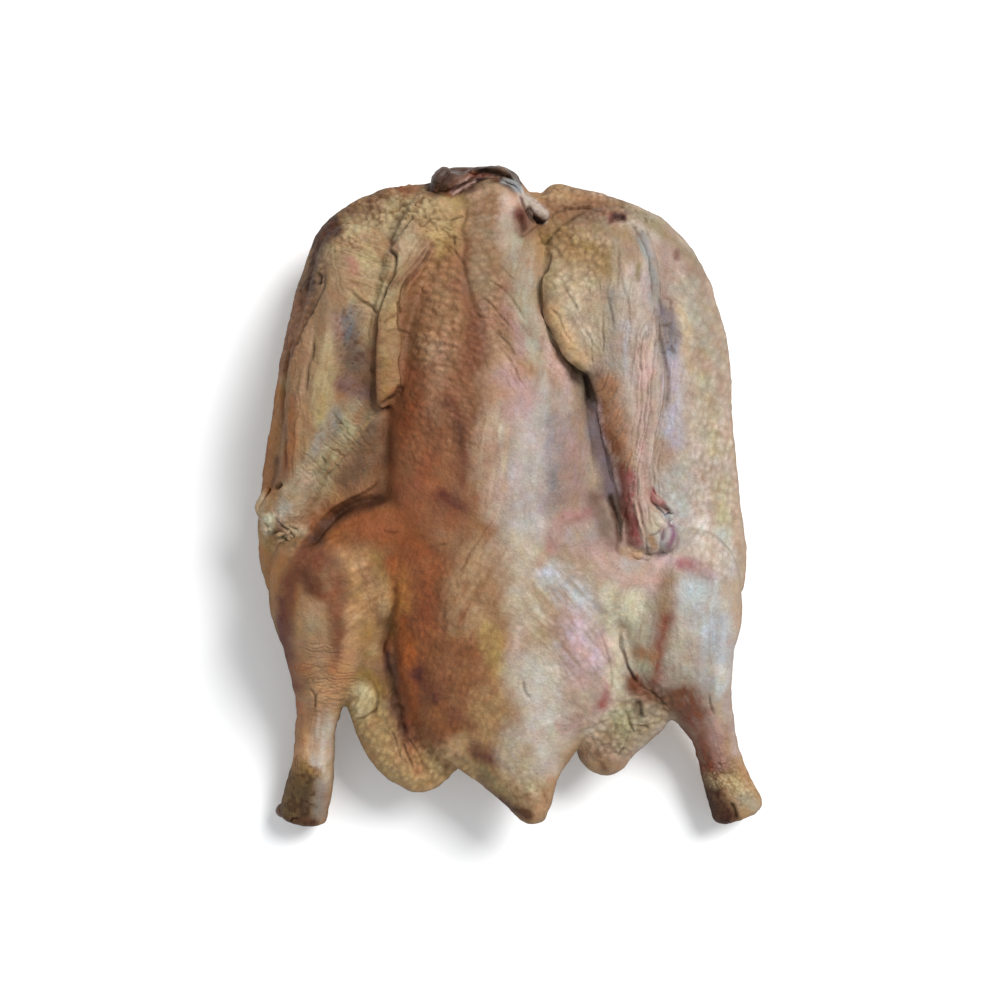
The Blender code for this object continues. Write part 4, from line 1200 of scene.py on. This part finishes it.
    "tail edge": (BISTRE, 0.6, 4, 0.1, ((480, 778), (494, 793), (504, 802))),
    "tail pale": (LINEN, 0.7, 13, 0.2, ((548, 744), (548, 770))),
    "tail right": (SAND, 0.6, 7, 0.1, ((552, 782), (546, 802), (536, 816))),
    "tail olive": (OLIVE, 0.75, 7, 0.2, ((510, 798), (524, 800))),
    "tail tip": (COCOA, 0.95, 7, 0.3, ((502, 802), (514, 811), (528, 818))),
    "belly right": (FLAX, 1.0, 22, 0.5, ((618, 736), (640, 720), (654, 712))),
    "belly right pale": (CHALK, 0.6, 10, 0.1, ((588, 728), (612, 722))),
    "belly right green": (SAGE, 0.6, 10, 0.2, ((624, 706), (622, 730))),
    # Painted shade in the pits of the right belly lobe
    "belly right pits": (INK, 0.5, 5, 0.0, ((638, 704), (642, 718))),
    "belly corner": (UMBER, 0.7, 6, 0.1, ((597, 757), (604, 768))),
    "leg foot": (RUSSET, 0.75, 8, 0.1, ((640, 688), (652, 697), (672, 704), (688, 710))),
    "stump left": (STUMP, 1.0, 17, 0.9, ((438, 178), (466, 178))),
    "stump shade": (INK, 0.45, 15, 0.3, ((438, 175), (462, 177))),
    "stump right": (INK, 0.9, 11, 0.9, ((476, 172), (498, 171), (514, 180))),
    "stump brown": (SIENNA, 0.7, 6, 0.1, ((450, 190), (462, 180), (470, 174))),
    "stump sinew": (ROSE, 0.6, 1.6, 0.1, ((452, 190), (461, 183), (468, 178))),
    "stump red": (MAHOGANY, 0.4, 3, 0.1, ((470, 176), (484, 174), (500, 176))),
    "stump membrane": (PETAL, 0.8, 2, 0.2, ((455, 192), (464, 187), (474, 181))),
    "stump pink": (ROSE, 0.7, 2, 0.2, ((474, 165), (482, 163))),
    "neck rim": (ASH, 0.95, 4, 0.5, ((504, 179), (512, 181), (518, 187), (522, 193))),
    "windpipe": (BUFF, 1.0, 8, 0.8, ((524, 197), (530, 202), (537, 209), (543, 215))),
    "windpipe shade": (CLAY, 0.5, 2.5, 0.1, ((529, 206), (535, 213), (541, 219))),
    "left knobs": (IVORY, 0.75, 7, 0.4, ((266, 518), (266, 529))),
    "left elbow skin": (STRAW, 0.75, 8, 0.2, ((260, 497), (256, 510))),
    "left nubs": (STRAW, 0.75, 7, 0.3, ((281, 536), (292, 530), (302, 533))),
    "left gristle": (MAUVE, 0.7, 3, 0.2, ((276, 521), (279, 527))),
    "cut face": (OCHRE, 0.8, 6, 0.3, ((651, 540), (653, 548))),
    "condyle": (PALE, 0.9, 10, 0.6, ((664, 532), (667, 546))),
    "condyle lens": (GRAPE, 0.9, 5, 0.2, ((671, 528), (674, 538), (671, 548))),
    "condyle mark": (GRAPE, 0.7, 3, 0.2, ((662, 531), (663, 539))),
    "cartilage": (CHALK, 0.8, 9, 0.3, ((653, 514), (656, 526))),
    "cartilage glint": (BLUE_WHITE_HIGHLIGHT, 0.7, 3, 0.3, ((666, 513), (669, 518))),
    "torn red": (GARNET, 0.8, 5, 0.5, ((651, 491), (654, 500), (662, 504))),
    "torn end": (MAROON, 0.7, 4, 0.3, ((664, 506), (670, 511))),
    "elbow nubs": (SAND, 0.8, 6, 0.4, ((625, 552), (638, 556))),
    "white cord": (PINK, 0.6, 2.4, 0.3, OUTER_CORD),
    "white cord inner": (PINK, 0.45, 1.8, 0.3, INNER_CORD),
    "hole beside neck": (MAROON, 0.9, 10, 0.3, ((521, 212), (524, 220), (526, 230))),
    "hole slit": (MAROON, 0.9, 2, 0.2, ((521, 196), (524, 204))),
    # Painted shadow in the hole under the windpipe
    "shadow under the windpipe": (INK, 0.8, 4, 0.2, ((528, 208), (532, 217), (542, 221))),
    "shoulder hole": (MAROON, 0.9, 6, 0.3, ((612, 216), (624, 216))),
    # Painted shade in the middle of the shoulder hole
    "shoulder hole core": (INK, 0.8, 3, 0.2, ((616, 216), (625, 217))),
}


def linear(finish):
    """Linear red, green and blue of an sRGB finish."""
    value = np.array([int(finish[k : k + 2], 16) for k in (0, 2, 4)]) / 255
    return np.where(value < 0.04045, value / 12.92, ((value + 0.055) / 1.055) ** 2.4)


def brushed(ragged, spread, seen, streak):
    """The strokes laid one over another, soft or firm, the narrow ones only as far as seen."""
    patchy = 1 + 0.4 * roughened(spread, 12, 90, 4) + 0.5 * streak
    colour = np.tile(linear(TAN), (len(ragged), 1))
    for finish, strength, half_width, firm, line in STROKES.values():
        near, away, _, _ = beside(line, ragged, 1.6 * half_width)
        inner, outer = half_width * (0.9 * firm - 0.15), half_width * (1.6 - 0.5 * firm)
        share = strength * (1 - eased(away, inner, outer))
        if half_width < WIDE_STROKE:
            share = np.clip(share * patchy[near], 0, 1) * seen[near]
        share = share[:, None]
        colour[near] += share * (linear(finish) - colour[near])
    return colour


def specks(ragged, spread, seen):
    """How dark the brown specks make each point: faint everywhere, and denser in the named areas."""
    speck = 0.05 * eased(ripple(spread, 3.1, 99) + 0.5 * ripple(spread, 17, 98), 0.45, 0.95)
    for strength, half_width, line in SPECKLED.values():
        near, share = area(line, ragged, half_width)
        spots = ripple(spread[near], 3.4, 101) + 0.5 * ripple(spread[near], 9, 102)
        spots = seen[near] * eased(spots, 0.1, 0.7)
        speck[near] = np.maximum(speck[near], strength * share * spots)
    return speck


def painted(points, normals, crease, pebble, streak):
    """Colour of each point: the strokes with ragged edges, the narrow ones only where a point faces up, lies
    high or is on a leg, then the plain underside, painted shade on the steep sides, chance shades, veins and
    specks, pebbles paler on top and browner between, as brown gaps and painted shade, and creases stained
    and darkened with painted shade."""
    places = seen_at(points)
    spread = points / (PICTURE_UNIT * MM)
    level = points[:, 2] / MM + 6 * roughened(spread, 24, 120, 3)
    seen = np.maximum(eased(normals[:, 2], -0.05, 0.3), eased(level, *STROKES_FADE))
    seen = np.maximum(seen, eased(places[:, 1], *LEG_ROWS))
    ragged = places + 4 * np.stack([roughened(spread, 16, 60, 4), roughened(spread, 16, 70, 4)], 1)
    colour = brushed(ragged, spread, seen, streak)
    below = (1 - eased(normals[:, 2], -0.6, -0.2)) * (1 - eased(level, *UNDERSIDE_FADES))
    below = below[:, None]
    colour += below * (linear(UNDERSIDE) - colour)
    # Painted shade: the steep sides, which face away from the light, darkened
    steep = (1 - eased(normals[:, 2], 0.0, 0.65)) * (1 - below[:, 0])
    colour *= 1 - 0.38 * steep[:, None] * np.array([0.9, 1.0, 1.1])
    for strength, size, seed, octaves, tells in SHADES:
        colour *= 1 + strength * roughened(spread, size, seed, octaves)[:, None] * np.array(tells)
    colour *= 1 + 0.17 * streak[:, None] * np.array([0.8, 1.0, 1.1])
    colour *= 1.02 + 0.07 * ripple(spread, 2.8, 86)[:, None]
    vein = np.exp(-((roughened(spread, 24, 97, 3) / 0.09) ** 2))[:, None]
    colour *= 1 - 0.08 * vein * np.array([0.35, 1.0, 1.0])
    colour *= 1 - specks(ragged, spread, seen)[:, None] * np.array([0.8, 1.0, 1.15])
    # Pebbles painted paler on top and darker between: brown gaps and painted shade
    colour *= 1 + 0.55 * (pebble[:, None] - 0.5) * np.array([0.85, 1.0, 1.2])
    # Creases and the corners below ledges darkened: stained, and painted shade
    stain_and_shade = (0.9 * crease)[:, None]
    colour += stain_and_shade * (0.75 * linear(CREASE_STAIN_AND_SHADE) + 0.12 * colour - colour)
    return np.clip(EXPOSURE * colour, 0, 1)


# Finishes


def node(tree, kind, **values):
    """A shader node with its properties, or its inputs by name, set."""
    made = tree.nodes.new(kind)
    for name, value in values.items():
        if hasattr(made, name):
            setattr(made, name, value)
        else:
            made.inputs[name.replace("_", " ")].default_value = value
    return made


def arithmetic(tree, operation, first, second):
    """One sum of two values, each a number or another node's output."""
    made = node(tree, "ShaderNodeMath", operation=operation)
    for socket, value in zip(made.inputs, (first, second)):
        if isinstance(value, (int, float)):
            socket.default_value = value
        else:
            tree.links.new(value, socket)
    return made.outputs[0]


def mottled(tree, place, tint):
    """The tint made a little lighter and darker by a fine noise."""
    mottle = node(tree, "ShaderNodeTexNoise", Scale=950, Detail=3, Roughness=0.6)
    tree.links.new(place, mottle.inputs["Vector"])
    shade = node(tree, "ShaderNodeMapRange", From_Min=0.3, From_Max=0.7, To_Min=0.87, To_Max=1.13)
    tree.links.new(mottle.outputs["Fac"], shade.inputs["Value"])
    tinted = node(tree, "ShaderNodeVectorMath", operation="SCALE")
    tree.links.new(tint, tinted.inputs[0])
    tree.links.new(shade.outputs[0], tinted.inputs["Scale"])
    return tinted.outputs[0]


def pebbled(tree, place, grain):
    """A bump of small round pebbles with that grain over them."""
    cells = node(tree, "ShaderNodeTexVoronoi", Scale=560, feature="SMOOTH_F1", Smoothness=0.6)
    tree.links.new(place, cells.inputs["Vector"])
    fine = arithmetic(tree, "MULTIPLY", grain, 0.5)
    dome = arithmetic(tree, "MULTIPLY", cells.outputs["Distance"], -0.35)
    bump = node(tree, "ShaderNodeBump", Strength=0.9, Distance=0.0007)
    tree.links.new(arithmetic(tree, "ADD", fine, dome), bump.inputs["Height"])
    return bump.outputs[0]


def flesh_finish(name, shine, roughness):
    """Raw skin or meat of that name: the brushed tint, mottled finely, with a bump of small pebbles
    and grain, and an uneven damp shine that is stronger where the detail's blue says it is wet."""
    made = bpy.data.materials.new(name)
    made.use_nodes = True
    tree = made.node_tree
    link = tree.links.new
    shader = tree.nodes["Principled BSDF"]
    place = node(tree, "ShaderNodeTexCoord").outputs["Object"]
    tint = node(tree, "ShaderNodeAttribute", attribute_name="tint").outputs["Color"]
    detail = node(tree, "ShaderNodeAttribute", attribute_name="detail").outputs["Color"]
    parts = node(tree, "ShaderNodeSeparateColor")
    link(detail, parts.inputs[0])
    noise = node(tree, "ShaderNodeTexNoise", Scale=1100, Detail=3, Roughness=0.6)
    link(place, noise.inputs["Vector"])
    grain = noise.outputs["Fac"]
    smooth, dull = roughness - 0.08, roughness + 0.1
    rough = node(tree, "ShaderNodeMapRange", From_Min=0.3, From_Max=0.7, To_Min=smooth, To_Max=dull)
    link(grain, rough.inputs["Value"])
    wet = arithmetic(tree, "MULTIPLY", parts.outputs["Blue"], 0.3)
    link(mottled(tree, place, tint), shader.inputs["Base Color"])
    link(pebbled(tree, place, grain), shader.inputs["Normal"])
    link(arithmetic(tree, "SUBTRACT", rough.outputs[0], wet), shader.inputs["Roughness"])
    shader.inputs["Specular IOR Level"].default_value = shine
    shader.inputs["Subsurface Weight"].default_value = 0.03
    shader.inputs["Subsurface Radius"].default_value = (1.0, 0.4, 0.25)
    shader.inputs["Subsurface Scale"].default_value = 0.003
    return made


# Pieces


def piece(name, points, faces, finish):
    """A piece of the bird from its points in metres and its faces, smooth-shaded. Faces that come
    as an array all have the same number of sides."""
    mesh = bpy.data.meshes.new(name)
    if isinstance(faces, np.ndarray):
        count, sides = faces.shape
        mesh.vertices.add(len(points))
        mesh.vertices.foreach_set("co", points.astype(np.float32).ravel())
        mesh.loops.add(count * sides)
        mesh.loops.foreach_set("vertex_index", faces.astype(np.int32).ravel())
        mesh.polygons.add(count)
        mesh.polygons.foreach_set("loop_start", np.arange(0, count * sides, sides, dtype=np.int32))
        mesh.update(calc_edges=True)
    else:
        mesh.from_pydata(points.tolist(), [], faces)
    if finish:
        mesh.materials.append(finish)
    mesh.shade_smooth()
    made = bpy.data.objects.new(name, mesh)
    bpy.context.scene.collection.objects.link(made)
    return made


def fused(forms, voxel, steps):
    """Points in metres, unit normals and four-sided faces of closed forms fused by a voxel remesh
    of that size in mm and smoothed that many times."""
    made = piece("forms", *joined(forms), None)
    fuse = made.modifiers.new("Fuse", "REMESH")
    fuse.mode = "VOXEL"
    fuse.voxel_size = voxel * MM
    smooth = made.modifiers.new("Smooth", "SMOOTH")
    smooth.iterations = steps
    smooth.factor = SMOOTH_FACTOR
    graph = bpy.context.evaluated_depsgraph_get()
    mesh = bpy.data.meshes.new_from_object(made.evaluated_get(graph), depsgraph=graph)
    bpy.data.objects.remove(made)
    points = np.empty(3 * len(mesh.vertices), np.float32)
    normals = np.empty_like(points)
    faces = np.empty(4 * len(mesh.polygons), np.int32)
    mesh.vertices.foreach_get("co", points)
    mesh.vertex_normals.foreach_get("vector", normals)
    mesh.polygons.foreach_get("vertices", faces)
    bpy.data.meshes.remove(mesh)
    return points.reshape(-1, 3).astype(float), normals.reshape(-1, 3).astype(float), faces.reshape(-1, 4)


def divided(points, normals, faces, chosen):
    """The chosen four-sided faces each split in four, at the middles of its sides and its own. Also
    gives, for the sides where chosen faces meet others, their middle points and two ends."""
    split = faces[chosen]
    sides = np.stack([split, np.roll(split, -1, 1)], -1).reshape(-1, 2)
    ends, which, uses = np.unique(np.sort(sides, 1), axis=0, return_inverse=True, return_counts=True)
    middles = len(points) + which.reshape(-1, 4)
    centres = len(points) + len(ends) + np.arange(len(split))[:, None]
    finer = np.stack(
        [split, middles, np.broadcast_to(centres, split.shape), np.roll(middles, 1, 1)], -1
    ).reshape(-1, 4)
    border = np.flatnonzero(uses == 1)
    points = np.vstack([points, points[ends].mean(1), points[split].mean(1)])
    normals = np.vstack([normals, normals[ends].mean(1), normals[split].mean(1)])
    normals /= np.linalg.norm(normals, axis=1, keepdims=True)
    halfway = len(points) - len(split) - len(ends) + border
    return points, normals, finer, np.column_stack([halfway, ends[border]])


def facing_of(points, faces):
    """Unit normal of each point: the sum of the cross products of its faces' diagonals."""
    a, b, c, d = (points[faces[:, k]] for k in range(4))
    across = np.cross(c - a, d - b)
    total = np.zeros_like(points)
    for axis in range(3):
        for corner in range(4):
            total[:, axis] += np.bincount(faces[:, corner], across[:, axis], len(points))
    return total / np.maximum(np.linalg.norm(total, axis=1, keepdims=True), 1e-12)


def coloured(made, colour, pebble, crease, gloss):
    """The piece with its tint and detail stored on its points, for its finish to read."""
    alpha = np.ones(len(colour))
    layers = {
        "tint": np.column_stack([colour, alpha]),
        "detail": np.stack([pebble, crease, gloss, alpha], 1),
    }
    for layer, values in layers.items():
        attribute = made.data.attributes.new(layer, "FLOAT_COLOR", "POINT")
        attribute.data.foreach_set("color", values.astype(np.float32).ravel())
    return made


def settled_down(raised):
    """Points with the level that the bird rests on brought to zero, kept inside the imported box."""
    points = raised.copy()
    points[:, 2] = np.maximum(points[:, 2], REST_LEVEL * MM) - REST_LEVEL * MM
    return np.clip(points, np.array(cad_low), np.array(cad_high))


# The pieces that the skin is cut into, each the part nearest to its line as seen from above
REGIONS = {
    "skin_of_neck_and_shoulders": ((380, 215), (470, 225), (600, 230)),
    "skin_of_left_wing": ((335, 290), (318, 400), (290, 520)),
    "skin_of_right_wing": ((600, 300), (640, 380), (640, 520)),
    "skin_of_back": ((455, 330), (465, 430), (470, 520)),
    "skin_of_right_flank": ((705, 320), (725, 480), (725, 560)),
    "skin_of_left_leg": ((310, 590), (318, 680), (300, 800)),
    "skin_of_right_leg": ((695, 610), (690, 680), (735, 800)),
    "skin_of_pelvis_and_tail": ((480, 600), (500, 690), (520, 770)),
}

# The same for the skin that faces down
UNDER_REGIONS = {
    "skin_under_breast_front": ((300, 290), (700, 290)),
    "skin_under_breast_middle": ((290, 480), (720, 480)),
    "skin_under_belly": ((300, 690), (720, 690)),
}


def nearest_line(lines, places):
    """Which of the named lines is nearest to each place, as whole numbers in their order."""
    best = np.full(len(places), np.inf)
    chosen = np.zeros(len(places), int)
    for k, line in enumerate(lines.values()):
        ends = np.array(line, float)
        for a, b in zip(ends, ends[1:]):
            span = b - a
            t = np.clip((places - a) @ span / (span @ span), 0, 1)
            away = np.linalg.norm(places - a - t[:, None] * span, axis=1)
            chosen = np.where(away < best, k, chosen)
            best = np.minimum(best, away)
    return chosen


def skin_mesh():
    """The bird's forms fused into one surface: its points, their normals, its faces, which of these
    show from above and are four times as fine, and the points where fine and coarse faces meet,
    each with the two ends of the coarse side that it halves."""
    forms = breast() + back() + belly() + left_wing() + right_wing() + legs() + neck()
    points, normals, coarse = fused(forms, FUSE_VOXEL, SMOOTH_STEPS)
    upper = normals[coarse].mean(1)[:, 2] > UPPER_FACING
    points, normals, finer, border = divided(points, normals, coarse, upper)
    faces = np.vstack([finer, coarse[~upper]])
    return points, normals, faces, np.arange(len(faces)) < len(finer), border


def skin_pieces():
    """The whole skin: each point of the surface moved along its normal by the relief, and coloured.
    It is cut along the mesh into the named regions, whose edges and normals match."""
    points, normals, faces, upper, border = skin_mesh()
    height, crease, pebble, streak = relief(points, normals)
    raised = points + normals * height[:, None] * MM
    raised[border[:, 0]] = raised[border[:, 1:]].mean(1)
    colour = painted(raised, normals, crease, pebble, streak)
    points = settled_down(raised)
    normals = facing_of(points, faces)
    middle = seen_at(points[faces].mean(1))
    region = np.where(
        upper, nearest_line(REGIONS, middle), nearest_line(UNDER_REGIONS, middle) + len(REGIONS)
    )
    finish = flesh_finish("raw_goose_skin", shine=0.2, roughness=0.55)
    made = []
    for k, name in enumerate([*REGIONS, *UNDER_REGIONS]):
        used, own = np.unique(faces[region == k], return_inverse=True)
        patch = piece(name, points[used], own.reshape(-1, 4), finish)
        patch.data.normals_split_custom_set_from_vertices(normals[used])
        gloss = wetness(raised[used], normals[used])
        made.append(coloured(patch, colour[used], pebble[used], crease[used], gloss))
    return made


def wetness(points, normals):
    """How wet each point is, up to 1: small glints scattered about the lines in GLINTS, and less
    than 0 on the steep sides, which are duller."""
    places = seen_at(points)
    wet = -1.3 * (1 - eased(normals[:, 2], 0.0, 0.7))
    for half_width, line in GLINTS.values():
        near, share = area(line, places, half_width)
        wet[near] = np.maximum(wet[near], share * eased(ripple(places[near], 2.6, 130), -0.1, 0.5))
    return wet


def part_piece(name, forms, rough, finish):
    """A small piece of meat, bone or gristle: its forms fused, roughened by that many mm, and brushed with
    the same strokes as the skin about it, then with its own, with painted shade in its low spots."""
    points, normals, faces = fused(forms, PART_VOXEL, 1)
    in_mm = points / MM
    height = rough * (ripple(in_mm, 6, 21) + 0.4 * ripple(in_mm, 2.6, 22) + 0.12 * ripple(in_mm, 1.3, 23))
    raised = points + normals * height[:, None] * MM
    # Painted shade in the low spots of the roughened surface, carried as the crease value
    deep = 0.5 * eased(-height / rough, 0.35, 1.2)
    between = np.full(len(points), 0.5)
    colour = painted(raised, normals, deep, between, streak=np.zeros(len(points)))
    made = piece(name, settled_down(raised), faces, finish)
    return coloured(made, colour, between, deep, 0.5 * ripple(in_mm, 3, 24))


# How a round lump is stretched across and ahead: just enough to give its path a direction
ROUND = (0, 0.01)


def balls(rows):
    """Rounded lumps, each a short path either way from its place, closed by domes. A row is (x, y,
    z, half width, rise, stretch across, stretch ahead)."""
    lumps = []
    for *place, half_width, rise, across, ahead in rows:
        place, stretch = np.array(place, float), np.array((across, ahead, 0), float)
        stations = [(*(place + k * stretch), half_width, rise, rise) for k in (-1, 0, 1)]
        lumps.append(swept(stations, (half_width, half_width), around=24, steps=2, cap_rings=6))
    return lumps


def neck_meat():
    """The two cut muscles of the neck: a folded lump with a sinew across it, and a thin dark wall
    round a lower cut face. The grey rim of skin lies beside them."""
    left = [
        (-40, 183, 71, 3.5, 6, 10),
        (-38.5, 188, 72, 5, 8, 12),
        (-34, 192.5, 72, 5, 7, 11),
    ]
    middle = [
        (-35, 183, 72, 4, 6, 9),
        (-29, 187, 73, 6, 9, 12),
        (-22, 189.5, 72, 5, 7, 10),
        (-18, 190, 71, 3, 5, 8),
    ]
    sinew = [(-34, 181.5, 78, 1, 1, 3), (-28, 184.5, 82.5, 1.3, 1.2, 3), (-22, 187, 80, 1, 1, 3)]
    wall = [
        (-20, 192, 71, 2.4, 7, 9),
        (-12, 194, 72, 2.6, 9, 9),
        (-3, 193.8, 72, 2.6, 9, 9),
        (3.5, 191, 71, 2.5, 8, 9),
        (7.5, 186.5, 70, 2.2, 7, 9),
    ]
    face = [(-20, 188, 71, 3.4, 4, 7), (-10, 189.5, 72, 3.8, 5, 8), (1, 188.5, 71, 3.4, 4.5, 8)]
    rim = [
        (1, 187.5, 76, 2.0, 2, 4),
        (5.5, 185.8, 77, 2.2, 2.5, 4),
        (9, 182.5, 77, 2.2, 2.5, 4),
        (11, 178.5, 77, 2.0, 2, 4),
    ]
    return {
        "neck_muscle_left": [
            swept(left, (3, 3), power=1.6),
            swept(middle, (3, 3), power=1.6),
            swept(sinew, (2, 2)),
        ],
        "neck_muscle_right": [swept(wall, (3, 3), power=1.6), swept(face, (3, 3), power=1.6)],
        "neck_skin_rim": [swept(rim, (3, 3))],
    }


def windpipe():
    """The pale end of the windpipe, which comes out of the hole beside the neck and swells to a
    round end: its half width is ringed by a cosine of 0.1 mm along it."""
    route = [
        (10.6, 178, 78, 1.7),
        (14, 174.6, 79.5, 2.4),
        (17.8, 171, 80.3, 3.0),
        (21.4, 168, 80.6, 3.5),
        (24, 166.2, 80.2, 3.6),
    ]
    places = curve_through(route, 6)
    ringed = places[:, 3] + 0.1 * np.cos(np.arange(len(places)) * np.pi)
    stations = np.column_stack([places[:, :3], ringed, ringed, ringed])
    return {"windpipe": [swept(stations, (2, 3.4), around=24, steps=3)]}


def elbow_bones():
    """The knobs of bone, gristle and fat at the two cut elbows, and the shred of skin at the right."""
    bump = [
        (-140.5, 4, 67, 2, 3, 6),
        (-143.6, -2, 68, 2.8, 4, 6),
        (-145.2, -7.4, 68, 2.8, 4, 6),
        (-143, -12.6, 68, 2.2, 3, 6),
    ]
    knobs = [
        (-141.2, -11.8, 71, 2.6, 3, 0.4, 1),
        (-141, -18, 70.5, 2.6, 3, -0.4, 1),
        (-137.4, -12.4, 74.5, 1.9, 2.2, 0.2, 1.6),
        (-136.6, -18, 73.5, 1.8, 2, 0.8, 0.8),
        (-133.4, -15, 77.6, 1.6, 1.8, 0.8, -0.8),
        (-131.2, -21.6, 74.6, 1.9, 1.9, 1.6, 0.5),
        (-126.6, -20.2, 76.8, 1.6, 1.7, 0.8, 1),
        (-123.4, -16.8, 78.6, 1.7, 1.7, 1.8, -0.5),
        (-131.6, -26, 70.8, 1.7, 1.8, 1.5, 0.2),
        (-126, -25.2, 75, 1.4, 1.6, 0.8, -0.7),
        (-121.6, -23, 77, 1.6, 1.7, 0.5, -1),
        (-119.2, -19.4, 77.6, 1.5, 1.7, 1, 0.8),
    ]
    joint = [
        (95.6, -24, 93.5, 5.6, 6.5, 0.4, 2.6),
        (87.5, -27, 93.5, 4.6, 4.6, 0.4, 1.8),
        (88.6, -13, 96.5, 4.2, 3.6, 1.2, -1.8),
        (85, -18, 97, 3, 3, 0.4, 2.6),
        (96, -12.3, 92.5, 2.8, 2.8, 1, 1),
        (92, -16.5, 96, 2.6, 2.6, 0.8, 0.8),
        (91, -34, 88, 1.6, 1.8, 5, 0.8),
    ]
    fat = [
        (72, -32, 92.5, 3, 3, 1, 0.8),
        (77.5, -33.5, 91.5, 3, 3, 1.6, -0.4),
        (83, -34.8, 89.5, 2.6, 2.6, 1.6, 0),
        (70.5, -35, 90, 2.4, 2.4, *ROUND),
    ]
    torn = [
        (85, 4, 96, 1.4, 1.4, 2.5),
        (87, -0.5, 98, 2.4, 1.6, 3),
        (91, -3.6, 98, 2.4, 1.5, 3),
        (96, -6, 96, 1.8, 1.5, 3),
    ]
    return {
        "left_elbow_bone": [swept(bump, (2, 2)), *balls(knobs)],
        "right_elbow_bone": balls(joint),
        "right_elbow_fat": balls(fat),
        "torn_skin": [swept(torn, (2, 1.5)), *balls([(98, -7.5, 95, 2.2, 2, *ROUND)])],
    }


def hock_ends():
    """The swollen ends of the cut hocks."""
    left = [
        (-132, -196.5, 15, 7, 8, *ROUND),
        (-137.9, -196, 16, 4.4, 6, *ROUND),
        (-118, -197, 15, 8, 9, *ROUND),
    ]
    right = [(154.5, -193.5, 18, 5.6, 7.5, *ROUND), (140, -198.5, 15, 4.4, 6.5, *ROUND)]
    return {"left_hock_end": balls(left), "right_hock_end": balls(right)}


# Stage

# In metres, degrees, watts and shares of full red, green, blue and opacity
FLOOR_HALF_SIDE = 4.0
FLOOR_COLOUR = (0.93, 0.93, 0.93, 1)
LIGHT_PLACE = (1.9, 1.7, 3.1)
LIGHT_TURN = (-40, 0, -45)
LIGHT_SIDE = 1.5
LIGHT_POWER = 165
SKY_STRENGTH = 0.66
SKY_COLOUR = (0.96, 0.98, 1.0, 1)


def stage():
    """A plain pale floor, a soft even sky, one broad soft light, and a camera straight above."""
    corners = np.array([(-1, -1, 0), (1, -1, 0), (1, 1, 0), (-1, 1, 0)]) * FLOOR_HALF_SIDE
    finish = bpy.data.materials.new("pale_floor")
    finish.use_nodes = True
    shader = finish.node_tree.nodes["Principled BSDF"]
    shader.inputs["Base Color"].default_value = FLOOR_COLOUR
    shader.inputs["Roughness"].default_value = 0.8
    floor = piece("floor", corners, [(0, 1, 2, 3)], finish)

    world = bpy.data.worlds.new("soft_studio")
    bpy.context.scene.world = world
    world.use_nodes = True
    sky = world.node_tree.nodes["Background"]
    sky.inputs["Color"].default_value = SKY_COLOUR
    sky.inputs["Strength"].default_value = SKY_STRENGTH

    lamp = bpy.data.lights.new("soft_key", "AREA")
    lamp.shape = "SQUARE"
    lamp.size = LIGHT_SIDE
    lamp.energy = LIGHT_POWER
    key = bpy.data.objects.new("soft_key", lamp)
    key.location = LIGHT_PLACE
    key.rotation_euler = np.radians(LIGHT_TURN)
    bpy.context.scene.collection.objects.link(key)

    lens = bpy.data.cameras.new("camera")
    lens.sensor_width = SENSOR_WIDTH
    lens.lens = FOCAL_LENGTH * SENSOR_WIDTH / PICTURE_SIDE
    camera = bpy.data.objects.new("camera", lens)
    camera.location = CAMERA_PLACE
    bpy.context.scene.collection.objects.link(camera)
    bpy.context.scene.camera = camera
    bpy.context.scene.view_settings.view_transform = "Standard"


pieces = skin_pieces()
raw_meat = flesh_finish("raw_meat", shine=0.4, roughness=0.45)
bone = flesh_finish("bone_and_gristle", shine=0.35, roughness=0.45)
for name, forms in neck_meat().items():
    pieces.append(part_piece(name, forms, MEAT_UNEVENNESS, raw_meat))
for name, forms in (windpipe() | elbow_bones() | hock_ends()).items():
    pieces.append(part_piece(name, forms, BONE_UNEVENNESS, bone))
for made in pieces:
    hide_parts("goose")
    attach(made, "root")
stage()
